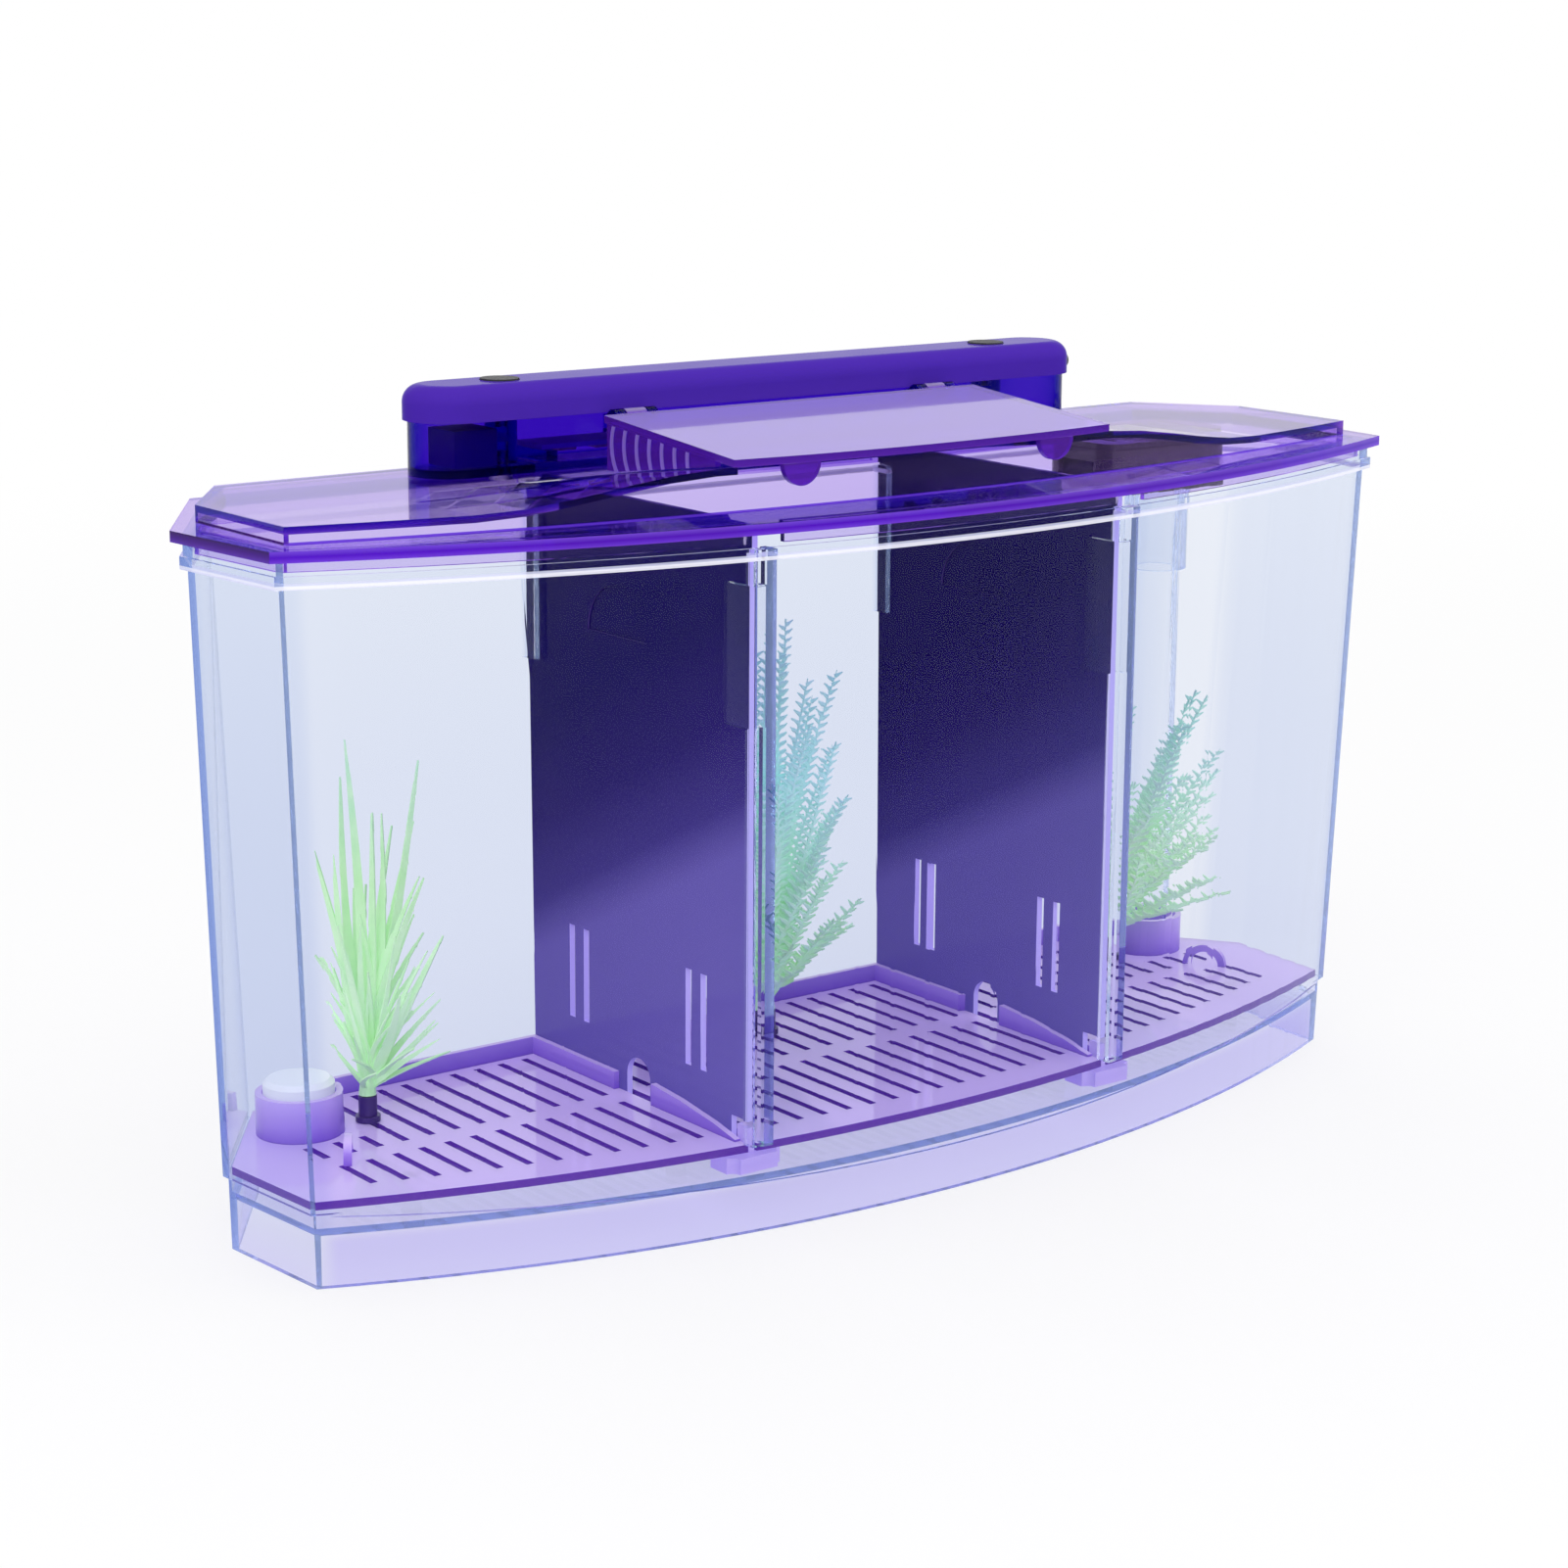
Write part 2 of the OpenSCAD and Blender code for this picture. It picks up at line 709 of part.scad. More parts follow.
module floor_plate_outer(side) {
    legs = [[side * (divider_x + 10), leg_front], [side * (socket_x - 6), leg_front + 14],
            [side * (divider_x + 10), back_y - 14]];
    near = divider_x + plate_edge;
    color(violet)
        union() {
            if (side < 0)
                floor_plate(-tank_l, -near, [for (x = outer_slots) -x], -socket_x, legs);
            else
                floor_plate(near, tank_l, outer_slots, socket_x, legs);
            lift_loop(side);
        }
}

module floor_plate_middle() {
    near = divider_x - plate_edge;
    color(violet)
        floor_plate(-near, near, middle_slots, socket_mid_x,
                    [[-near + 10, leg_front], [near - 10, leg_front],
                     [-near + 10, back_y - 14], [near - 10, back_y - 14]]);
}

module plate_clip(x) {
    // Foot under the front corners of two plates, with a tongue that stands between them
    foot_l = 16;
    front = wall_front(divider_x + foot_l / 2, floor_top) + seat;
    post_y = wall_front(divider_x, tank_h / 2) + post_d;
    tongue = divider_t;
    color(pale_violet)
        translate([x, 0, 0]) {
            difference() {
                box_at([-foot_l / 2, front, floor_top + seat], [foot_l / 2, front + 9, plate_z - seat]);
                for (side = [-1, 1])
                    translate([side * foot_l / 2, front, 0])
                        cylinder(r = 2.4, h = tank_h, $fn = round_n);
            }
            box_at([-tongue / 2, post_y + 0.4, plate_z - seat - eps],
                   [tongue / 2, post_y + 5, plate_top + curb_h - 0.6]);
        }
}

// ---- sockets, caps and lift tube ----

module socket_cap(x) {
    d = socket_d - 2 * socket_wall - 2 * socket_gap;
    low = plate_top + seat;
    high = plate_top + socket_h + cap_over;
    color("white")
        translate([x, socket_y, 0])
            difference() {
                union() {
                    translate([0, 0, low])
                        cylinder(d = d, h = high - low - 1.2, $fn = round_n);
                    translate([0, 0, high - 1.2 - eps])
                        cylinder(d1 = d, d2 = d - 2.4, h = 1.2 + eps, $fn = round_n);
                }
                translate([0, 0, low - 1])
                    cylinder(d = d - 2 * cap_wall, h = high - low - cap_wall + 1, $fn = round_n);
            }
}

module lift_tube() {
    color(clear)
        translate([socket_x, socket_y, 0]) {
            ring(tube_d, tube_d - 2 * tube_wall, tube_z, head_z - tube_z + head_wall - seat);
            ring(socket_d - 2 * socket_wall - 2 * socket_gap, tube_d - eps, tube_z, socket_h / 2);
        }
}

module tube_collar() {
    color(clear)
        translate([socket_x, socket_y, 0])
            ring(collar_d, tube_d + 0.2, collar_z, head_z - collar_z - seat);
}

module head_block(inset, z, h) {
    // Plan of the filter head: a box with rounded corners
    r = 6;
    l = head_l - 2 * inset;
    d = head_d - 2 * inset;
    translate([head_x, head_y, z])
        linear_extrude(h) {
            square([l - 2 * (r - inset), d], center = true);
            square([l, d - 2 * (r - inset)], center = true);
            for (sx = [-1, 1], sy = [-1, 1])
                translate([sx * (l / 2 - r + inset), sy * (d / 2 - r + inset)])
                    circle(r = r - inset, $fn = round_n);
        }
}

module filter_head() {
    color(smoke)
        difference() {
            head_block(0, head_z, head_h - head_wall);
            head_block(head_wall, head_z + head_wall, head_h);
            translate([socket_x, socket_y, head_z - 1])
                cylinder(d = tube_d + 0.4, h = head_wall + 2, $fn = round_n);
            box_at([head_x - head_l, head_y - 7, head_z + 4],
                   [head_x - head_l / 2 + 3, head_y + 7, head_z + 9]);
        }
}

module filter_head_cover() {
    z = head_top - head_wall + seat;
    color(smoke)
        difference() {
            head_block(0, z, head_wall);
            for (i = [-3:3])
                translate([head_x + i * 4.5 - 2, head_y, z - 1])
                    linear_extrude(head_wall + 2)
                        square([1.6, head_d - 12], center = true);
        }
}

module carbon_cartridge() {
    l = head_l - 2 * head_wall - 18;
    w = head_d - 2 * head_wall - 8;
    h = head_h - 2 * head_wall - 1;
    channel = 12;
    color(black)
        translate([head_x - head_l / 2 + head_wall + 0.5, head_y - w / 2, head_z + head_wall + seat])
            difference() {
                cube([l, w, h]);
                translate([-1, (w - channel) / 2, h - 1])
                    cube([l + 2, channel, 3]);
            }
}

// ---- plants ----

leaf_turn = -37.6;

golden = 137.5;

// Tips of a plant's leaves, from its root: to the side, to the back, and up
function leaf_tips(tall, lean, deep, ahead, phase) = [
    for (i = [0:leaf_n - 1])
        let (t = i / (leaf_n - 1), out = leaf_reach * (0.45 + 0.55 * sqrt(t)), a = phase + i * golden)
        [lean * leaf_reach + out * cos(a), deep * out * sin(a) - ahead * leaf_reach, tall * (1 - 0.75 * t)]
];
left_tips = leaf_tips(plant_l_h, 0.17, 0.63, 0.05, 220);
middle_tips = leaf_tips(plant_m_h, 0.33, 0.5, 0.05, 100);
right_tips = leaf_tips(plant_r_h, 0.7, 0.16, 0.25, 20);

module along(tip) {
    rotate([0, acos(tip[2] / norm(tip)), atan2(tip[1], tip[0])])
        children();
}

module leaf_root() {
    translate([0, 0, -0.8 * leaf_r])
        cylinder(h = 5 * leaf_r, r = 1.7 * leaf_r, $fn = 8);
}

module grass(tips) {
    for (tip = tips)
        along(tip)
            cylinder(h = norm(tip), r1 = leaf_r, r2 = 0.4 * leaf_r, $fn = 5);
    leaf_root();
}

module fern(tips) {
    for (tip = tips)
        along(tip) {
            h = norm(tip);
            cylinder(h = h, r1 = 0.8 * leaf_r, r2 = 0.3 * leaf_r, $fn = 5);
            for (k = [2:5])
                translate([0, 0, h * k / 6])
                    rotate([0, 0, k * 90])
                        for (side = [-1, 1])
                            rotate([0, side * 50, 0])
                                cylinder(h = 5 * leaf_r, r1 = 0.75 * leaf_r, r2 = 0.25 * leaf_r, $fn = 4);
        }
    leaf_root();
}

module at_root(x) {
    translate([x, plant_y, plate_top + seat + foot_h + 1 + seat])
        rotate([0, 0, leaf_turn])
            children();
}

module plant_foot(x) {
    // A round peg with a tongue in the plate's slot
    color([0.22, 0.12, 0.42])
        translate([x, plant_y, plate_top + seat]) {
            cylinder(d = foot_d, h = 1.4, $fn = round_n);
            cylinder(d = foot_d - 1.6, h = foot_h, $fn = round_n);
            box_at([-slot_w / 2 + 0.3, -3, -plate_t - seat], [slot_w / 2 - 0.3, 3, eps]);
        }
}

module plant_left() {
    color(green)
        at_root(-plant_x)
            grass(left_tips);
}

module plant_middle() {
    color(teal)
        at_root(0)
            fern(middle_tips);
}

module plant_right() {
    color(teal)
        at_root(plant_x)
            fern(right_tips);
}

// ---- lid ----

flange_plan = grow(rim_plan, lid_over);
lip_out = grow(rim_plan, -wall - lip_gap);
lip_in = grow(rim_plan, -wall - lip_gap - lip_t);

// Columns of the raised panel, from end to end
panel_cols = concat([-panel_half],
    [for (i = [0:24]) panel_back_half * (i / 12 - 1)],
    [panel_half]);

// The raised panel as one closed block from z_low up to its surface less drop, drawn in by inset on all sides
module panel_block(inset, drop, z_low) {
    rows = 3;
    cols = [for (x = panel_cols) x * (panel_half - inset) / panel_half];
    n = len(cols);
    m = rows + 2;
    function row_y(x, j) =
        let (f = panel_front(x) + inset, b = scoop_back, e = panel_back_at(x) - inset)
        j <= rows ? f + (b - f) * j / rows : e;
    top = [for (j = [0:m - 1], i = [0:n - 1])
        let (x = cols[i], y = row_y(x, j)) [x, y, scoop_at(x, j == 0 ? panel_front(x) : y) - drop]];
    base = [for (p = top) [p[0], p[1], z_low]];
    k = n * m;
    quads_top = [for (j = [0:m - 2], i = [0:n - 2])
        let (a = j * n + i) [a, a + n, a + n + 1, a + 1]];
    quads_low = [for (q = quads_top) [for (v = [3:-1:0]) q[v] + k]];
    front = [for (i = [0:n - 2]) [i, i + 1, i + 1 + k, i + k]];
    back = [for (i = [0:n - 2]) let (a = (m - 1) * n + i) [a + 1, a, a + k, a + 1 + k]];
    left = [for (j = [0:m - 2]) [(j + 1) * n, j * n, j * n + k, (j + 1) * n + k]];
    right = [for (j = [0:m - 2]) let (a = j * n + n - 1) [a, a + n, a + n + k, a + k]];
    polyhedron(concat(top, base), concat(quads_top, quads_low, front, back, left, right), convexity = 6);
}

module lid() {
    color(pale_violet)
        difference() {
            union() {
                slab(flange_plan, lid_z, flange_t);
                panel_block(0, 0, lid_z + flange_t / 2);
                difference() {
                    slab(lip_out, lid_z - lip_h, lip_h + flange_t / 2);
                    slab(lip_in, lid_z - lip_h - 1, lip_h + 2);
                }
            }
            panel_block(lid_wall, lid_wall, lid_z - 1);
            box_at([-hole_half, panel_front(hole_half) + lid_wall + 2, lid_z - 1],
                   [hole_half, scoop_back - 3, scoop_top + 1]);
            for (side = [-1, 1])
                translate([side * screw_x, hood_y, lid_z])
                    cylinder(d = screw_d + 0.5, h = tank_h, $fn = round_n);
            for (side = [-1, 1])
                box_at([side * divider_x - 5, flange_corner_y - bow_rim - lid_over, lid_z - lip_h - 1],
                       [side * divider_x + 5, wall_front(divider_x, tank_h) + post_d + 3, lid_z]);
            for (side = [-1, 1])
                box_at([side * divider_x - 4, wall_back(tank_h) - back_guide_d - 1, lid_z - lip_h - 1],
                       [side * divider_x + 4, back_y, lid_z]);
        }
}

module lid_screws() {
    // Screws up through the lid into the hood's bosses
    color(steel)
        for (side = [-1, 1])
            translate([side * screw_x, hood_y, 0]) {
                translate([0, 0, panel_under - screw_head])
                    cylinder(d = 2 * screw_d, h = screw_head - seat / 2, $fn = round_n);
                translate([0, 0, panel_under - screw_head / 2])
                    cylinder(d = screw_d, h = screw_l + screw_head / 2, $fn = round_n);
            }
}

// ---- feeding flap ----

slope = (flap_rise) / (flap_back - flap_edge);
function flap_top(y) = flap_front_z + slope * (y - flap_edge);

module flap_plate() {
    // The flap seen from above, cut out of a thin sloping slab
    outline = concat(
        [for (i = [0:16]) let (x = flap_w / 2 * (i / 8 - 1)) [x, panel_front(x) - flap_over]],
        [[flap_w / 2, flap_back], [-flap_w / 2, flap_back]]);
    y_low = flap_front - 5;
    y_high = flap_back + 5;
    intersection() {
        translate([0, 0, panel_top])
            linear_extrude(40)
                polygon(outline);
        rotate([90, 0, 90])
            linear_extrude(2 * flap_w, center = true)
                polygon([[y_low, flap_top(y_low) - flap_t], [y_high, flap_top(y_high) - flap_t],
                         [y_high, flap_top(y_high)], [y_low, flap_top(y_low)]]);
    }
}

cheek_x = flap_w / 2 - cheek_t - 0.4;
cheek_front = flap_edge + 8;
cheek_back = flap_back - 0.6;
function cheek_low(y) = scoop_at(scoop_in, y) + flap_gap;

module cheek_area() {
    polygon([[cheek_front, cheek_low(cheek_front)], [scoop_back, cheek_low(scoop_back)],
             [cheek_back, cheek_low(cheek_back)], [cheek_back, flap_top(cheek_back) - flap_t / 2],
             [cheek_front, flap_top(cheek_front) - flap_t / 2]]);
}

module cheek(side) {
    low = side > 0 ? cheek_x : -cheek_x - cheek_t;
    translate([low, 0, 0])
        rotate([90, 0, 90])
            linear_extrude(cheek_t)
                cheek_area();
    rib_low = side > 0 ? cheek_x + cheek_t - eps : -cheek_x - cheek_t - 0.4;
    pitch = (cheek_back - cheek_front - 8) / cheek_ribs;
    translate([rib_low, 0, 0])
        rotate([90, 0, 90])
            linear_extrude(0.4 + eps)
                intersection() {
                    cheek_area();
                    for (i = [0:cheek_ribs - 1])
                        translate([cheek_back - 14 - i * pitch, panel_top + 7])
                            difference() {
                                circle(r = 12.2, $fn = round_n);
                                circle(r = 11, $fn = round_n);
                                translate([-30, -15])
                                    square([30, 30]);
                            }
                }
}

module finger_tab(x) {
    y = panel_front(x) - flap_over;
    z = flap_top(y) - flap_t;
    translate([x, y + 1.6, z + eps])
        rotate([90, 0, 0])
            linear_extrude(1.6)
                intersection() {
                    circle(d = tab_w, $fn = round_n);
                    translate([-tab_w, -tab_h])
                        square([2 * tab_w, tab_h]);
                }
}

module knuckle(x, w, d) {
    translate([x - w / 2, hinge_y, hinge_z])
        rotate([0, 90, 0])
            cylinder(d = d, h = w, $fn = round_n);
}

module feeding_flap() {
    color(pale_violet)
        difference() {
            union() {
                flap_plate();
                for (side = [-1, 1]) {
                    cheek(side);
                    finger_tab(side * tab_x);
                    knuckle(side * hinge_x, knuckle_w, knuckle_d);
                    box_at([side * hinge_x - knuckle_w / 2, flap_back - 2, hinge_z - 0.9],
                           [side * hinge_x + knuckle_w / 2, hinge_y, hinge_z + 0.7]);
                }
            }
            for (side = [-1, 1])
                knuckle(side * hinge_x, knuckle_w + 2, pin_d + 2 * pin_gap);
        }
}

ear_w = 3;
ear_x = knuckle_w / 2 + knuckle_gap + ear_w / 2;

module flap_hinge_pins() {
    color(steel)
        for (side = [-1, 1])
            knuckle(side * hinge_x, 2 * ear_x + ear_w, pin_d);
}

// ---- lamp hood ----

module hood_body() {
    floor_z = hood_z;
    inner_l = body_l - 2 * hood_wall;
    inner_w = body_w - 2 * hood_wall;
    color(deep_violet)
        difference() {
            union() {
                translate([0, hood_y, 0])
                    difference() {
                        stadium(body_l, body_w, floor_z, cap_z - floor_z - seat);
                        stadium(inner_l, inner_w, floor_z + hood_wall, hood_h);
                        box_at([-lens_l / 2, -lens_w / 2, floor_z - 1],
                               [lens_l / 2, lens_w / 2, floor_z + hood_wall + 1]);
                    }
                for (side = [-1, 1]) {
                    translate([side * screw_x, hood_y, floor_z])
                        cylinder(d = screw_d + 5, h = cap_z - floor_z - seat, $fn = round_n);
                    for (k = [-1, 1])
                        translate([side * hinge_x + k * ear_x - ear_w / 2, 0, 0])
                            hinge_ear();
                    board_rest(side);
                }
            }
            for (side = [-1, 1]) {
                translate([side * screw_x, hood_y, floor_z - 1])
                    cylinder(d = screw_d + 0.1, h = screw_l + 1, $fn = round_n);
                translate([side * screw_x, hood_y, cap_z + cap_post - screw_l])
                    cylinder(d = screw_d + 0.1, h = screw_l + 1, $fn = round_n);
                for (k = [-1, 1])
                    knuckle(side * hinge_x + k * ear_x, ear_w + 0.2, pin_d + 2 * pin_gap);
            }
        }
}

module board_rest(side) {
    // Rib across the hood's floor, under one end of the circuit board
    rest_w = 3.2;
    x = side * (board_l - rest_w) / 2;
    box_at([x - rest_w / 2, hood_y - body_w / 2 + hood_wall / 2, hood_z + hood_wall],
           [x + rest_w / 2, hood_y + body_w / 2 - hood_wall / 2, board_z - seat / 2]);
}

module hinge_ear() {
    root_y = hood_front + hood_wall / 2;
    low = hinge_z - knuckle_d / 2;
    high = min(hinge_z + knuckle_d / 2 - 0.2, cap_z - 0.5);
    rotate([90, 0, 90])
        linear_extrude(ear_w) {
            translate([hinge_y, hinge_z])
                circle(d = knuckle_d, $fn = round_n);
            polygon([[hinge_y, low + 0.2], [root_y, low - 2], [root_y, high], [hinge_y, high]]);
        }
}

cap_post = 2.4;      // floor of the pocket under a plug

module hood_cap() {
    // A rounded cap with a post under each screw head
    color(deep_violet)
        translate([0, hood_y, cap_z])
            difference() {
                union() {
                    difference() {
                        rounded_bar(hood_l, hood_w, cap_h, cap_round);
                        translate([0, 0, -eps])
                            rounded_bar(hood_l - 2 * hood_wall, hood_w - 2 * hood_wall,
                                cap_h - hood_wall, cap_round - hood_wall);
                    }
                    for (side = [-1, 1])
                        translate([side * screw_x, 0, 0])
                            cylinder(d = plug_d + 3, h = cap_h - hood_wall / 2, $fn = round_n);
                }
                for (side = [-1, 1])
                    translate([side * screw_x, 0, 0]) {
                        translate([0, 0, cap_post])
                            cylinder(d = plug_d + 0.4, h = 10, $fn = round_n);
                        translate([0, 0, -1])
                            cylinder(d = screw_d + 0.4, h = 10, $fn = round_n);
                    }
                translate([hood_l / 2 - 2 * hood_wall, 0, gland_d / 2 + 0.4])
                    rotate([0, 90, 0])
                        cylinder(d = gland_d + 0.1, h = 3 * hood_wall, $fn = round_n);
            }
}

module hood_screws() {
    color(steel)
        for (side = [-1, 1])
            translate([side * screw_x, hood_y, cap_z]) {
                translate([0, 0, cap_post + seat / 2])
                    cylinder(d = 2 * screw_d, h = screw_head, $fn = round_n);
                translate([0, 0, cap_post + screw_head - screw_l])
                    cylinder(d = screw_d, h = screw_l - screw_head / 2, $fn = round_n);
            }
}

module screw_plugs() {
    z = cap_z + cap_post + screw_head + seat;
    color(black)
        for (side = [-1, 1])
            translate([side * screw_x, hood_y, z])
                cylinder(d = plug_d, h = cap_z + cap_h + 0.4 - z, $fn = round_n);
}

board_z = hood_z + hood_wall + 3;
lens_gap = 0.3;
led_h = 1.2;
led_w = 5;
led_end = 10;         // from the board's end to the middle of the last lamp

module light_window() {
    color([0.95, 0.96, 1, 0.6])
        translate([0, hood_y, 0])
            box_at([-lens_l / 2 + lens_gap, -lens_w / 2 + lens_gap, hood_z],
                   [lens_l / 2 - lens_gap, lens_w / 2 - lens_gap, hood_z + hood_wall - seat]);
}

module led_board() {
    color([0.95, 0.95, 0.93])
        translate([0, hood_y, 0])
            box_at([-board_l / 2, -board_w / 2, board_z], [board_l / 2, board_w / 2, board_z + board_t]);
}

module leds() {
    color([1, 0.95, 0.7])
        for (i = [0:led_n - 1])
            translate([(board_l - 2 * led_end) * (i / (led_n - 1) - 0.5), hood_y, board_z - led_h])
                linear_extrude(led_h)
                    square([led_w, led_w], center = true);
}

module driver_box() {
    x = -screw_x - screw_d / 2 - 2.5 - 1 - driver_l;
    w = body_w - 2 * hood_wall - 4;
    z = hood_z + hood_wall + seat;
    color(black)
        box_at([x, hood_y - w / 2, z], [x + driver_l, hood_y + w / 2, z + 9]);
}

module cable_gland() {
    x = hood_l / 2 - hood_wall;
    color(black)
        translate([x - 1, hood_y, cap_z + gland_d / 2 + 0.4])
            rotate([0, 90, 0])
                cylinder(d = gland_d, h = hood_wall + 1 + gland_out, $fn = round_n);
}

tank_body();
floor_plate_outer(-1);  // floor_plate_left
floor_plate_middle();
floor_plate_outer(1);  // floor_plate_right
plate_clip(-divider_x);  // plate_clip_left
plate_clip(divider_x);  // plate_clip_right
divider(-divider_x);  // divider_left
divider(divider_x);  // divider_right
socket_cap(-socket_x);  // socket_cap_left
socket_cap(socket_mid_x);  // socket_cap_middle
lift_tube();
tube_collar();
filter_head();
filter_head_cover();
carbon_cartridge();
plant_left();
plant_foot(-plant_x);  // plant_left_foot
plant_middle();
plant_foot(0);  // plant_middle_foot
plant_right();
plant_foot(plant_x);  // plant_right_foot
lid();
lid_screws();
feeding_flap();
flap_hinge_pins();
hood_body();
hood_cap();
hood_screws();
screw_plugs();
light_window();
led_board();
leds();
driver_box();
cable_gland();
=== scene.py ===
# Fish breeding box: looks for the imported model, for Blender 4.5
import math
import random

import bmesh
import bpy
from mathutils import Matrix, Vector


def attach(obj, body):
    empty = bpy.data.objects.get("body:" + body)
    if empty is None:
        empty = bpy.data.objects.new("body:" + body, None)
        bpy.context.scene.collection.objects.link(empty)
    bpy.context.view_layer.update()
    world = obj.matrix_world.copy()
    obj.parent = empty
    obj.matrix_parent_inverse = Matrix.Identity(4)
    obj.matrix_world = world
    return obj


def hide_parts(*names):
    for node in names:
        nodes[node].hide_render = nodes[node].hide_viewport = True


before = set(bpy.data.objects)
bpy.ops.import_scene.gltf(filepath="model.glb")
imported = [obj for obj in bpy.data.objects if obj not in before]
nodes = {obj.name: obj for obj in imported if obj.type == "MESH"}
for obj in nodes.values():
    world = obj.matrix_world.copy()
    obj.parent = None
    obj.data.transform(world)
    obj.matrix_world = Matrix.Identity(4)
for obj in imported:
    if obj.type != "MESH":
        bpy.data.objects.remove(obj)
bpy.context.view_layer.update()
scene = bpy.context.scene
mm = 0.001


# camera, fitted to the corners of the tank and the lid
cameraFit = {
    "azimuth": 37.62,
    "elevation": 13.08,
    "roll": 0.40,
    "place": (-0.5362, -0.6769, 0.2944),
    "lens": 79.31,
    "sensor": 36,
    "clipStart": 0.01,
}


def addCamera(fit):
    azimuth, elevation, roll = (math.radians(fit[k]) for k in ("azimuth", "elevation", "roll"))
    flat = math.cos(elevation)
    ahead = Vector((math.sin(azimuth) * flat, math.cos(azimuth) * flat, -math.sin(elevation)))
    right = Vector((math.cos(azimuth), -math.sin(azimuth), 0))
    up = right.cross(ahead)
    side = right * math.cos(roll) + up * math.sin(roll)
    top = up * math.cos(roll) - right * math.sin(roll)
    data = bpy.data.cameras.new("viewCamera")
    data.lens = fit["lens"]
    data.sensor_width = fit["sensor"]
    data.clip_start = fit["clipStart"]
    camera = bpy.data.objects.new("viewCamera", data)
    turn = Matrix((side, top, -ahead)).transposed()
    camera.matrix_world = Matrix.Translation(fit["place"]) @ turn.to_4x4()
    scene.collection.objects.link(camera)
    scene.camera = camera


addCamera(cameraFit)
print("camera is in place")


# small helpers for shader nodes
noiseRange = (0.3, 0.7)     # where most of the noise lies


def feed(tree, socket, value):
    # a socket takes another node's output or a plain value, and a colour gets its alpha
    if isinstance(value, bpy.types.NodeSocket):
        tree.links.new(value, socket)
    elif socket.type == "RGBA":
        socket.default_value = (*value, 1)
    else:
        socket.default_value = value


def addNode(tree, kind, sockets=None, **settings):
    # a node with its settings, and what goes into its sockets
    made = tree.nodes.new("ShaderNode" + kind)
    for name, value in settings.items():
        setattr(made, name, value)
    for name, value in (sockets or {}).items():
        feed(tree, made.inputs[name], value)
    return made


def maths(tree, kind, *values):
    return addNode(tree, "Math", dict(enumerate(values)), operation=kind).outputs[0]


def placeOf(tree):
    return addNode(tree, "TexCoord").outputs["Object"]


def along(tree, way):
    # distance in metres along a direction
    dot = addNode(tree, "VectorMath", {0: placeOf(tree), 1: way}, operation="DOT_PRODUCT")
    return dot.outputs["Value"]


def spread(tree, source, low, high, between=noiseRange, **settings):
    # noise, or another number, mapped onto low to high
    sockets = {"Value": source, "From Min": between[0], "From Max": between[1],
               "To Min": low, "To Max": high}
    return addNode(tree, "MapRange", sockets, **settings).outputs["Result"]


def mixed(tree, share, first, second):
    # a blend of two colours
    blend = addNode(tree, "Mix", {"Factor": share, "A": first, "B": second}, data_type="RGBA")
    return blend.outputs["Result"]


def mixedShader(tree, share, first, second):
    return addNode(tree, "MixShader", {0: share, 1: first, 2: second}).outputs[0]


# floor, surroundings and lamps
studio = {
    "white": (1, 1, 1),
    "floorSize": 400.0,
    "floorBelow": 0.0006,
    "floorColour": (0.86, 0.86, 0.87),
    # share of plain white near the box and far off, where the rest keeps the shadow
    "floorGlow": (0.70, 1.0),
    "floorFade": (0.45, 1.3),       # distances between which it turns plain white
    "roomSeen": 1.0,
    "roomLight": 0.76,
    "lampAim": (0, 0, 0.08),
    "lamps": [
        # name, place, size, watts
        ("keyLamp", (-0.95, -0.85, 1.35), 1.3, 13.0),
        ("fillLamp", (1.25, -0.75, 0.9), 1.2, 6.0),
        ("backLamp", (0.2, 1.3, 1.3), 1.4, 4.0),
    ],
}


def lookRays(tree):
    # 1 for rays that look, straight, by reflection or through plastic, and 0 for rays that light
    path = addNode(tree, "LightPath").outputs
    seen = maths(tree, "MAXIMUM", path["Is Camera Ray"], path["Is Glossy Ray"])
    return maths(tree, "MAXIMUM", seen, path["Is Transmission Ray"])


def addRoom(kit):
    world = bpy.data.worlds.new("whiteRoom")
    world.use_nodes = True
    tree = world.node_tree
    tree.nodes.clear()
    light, seen = (
        addNode(tree, "Background", {"Color": kit["white"], "Strength": kit[k]}).outputs[0]
        for k in ("roomLight", "roomSeen"))
    addNode(tree, "OutputWorld", {"Surface": mixedShader(tree, lookRays(tree), light, seen)})
    scene.world = world


def addFloor(kit):
    bm = bmesh.new()
    bmesh.ops.create_grid(bm, x_segments=1, y_segments=1, size=kit["floorSize"] / 2)
    bmesh.ops.translate(bm, vec=(0, 0, -kit["floorBelow"]), verts=bm.verts)
    mesh = bpy.data.meshes.new("floor")
    bm.to_mesh(mesh)
    bm.free()
    floor = bpy.data.objects.new("floor", mesh)
    scene.collection.objects.link(floor)
    paint = bpy.data.materials.new("paleFloor")
    paint.use_nodes = True
    tree = paint.node_tree
    tree.nodes.clear()
    matt = addNode(tree, "BsdfDiffuse", {"Color": kit["floorColour"]}).outputs[0]
    glow = addNode(tree, "Emission", {"Color": kit["white"], "Strength": 1.0}).outputs[0]
    away = addNode(tree, "VectorMath", {0: placeOf(tree)}, operation="LENGTH").outputs["Value"]
    fade = spread(tree, away, *kit["floorGlow"], kit["floorFade"], interpolation_type="SMOOTHSTEP")
    share = maths(tree, "MULTIPLY", lookRays(tree), fade)
    addNode(tree, "OutputMaterial", {"Surface": mixedShader(tree, share, matt, glow)})
    mesh.materials.append(paint)


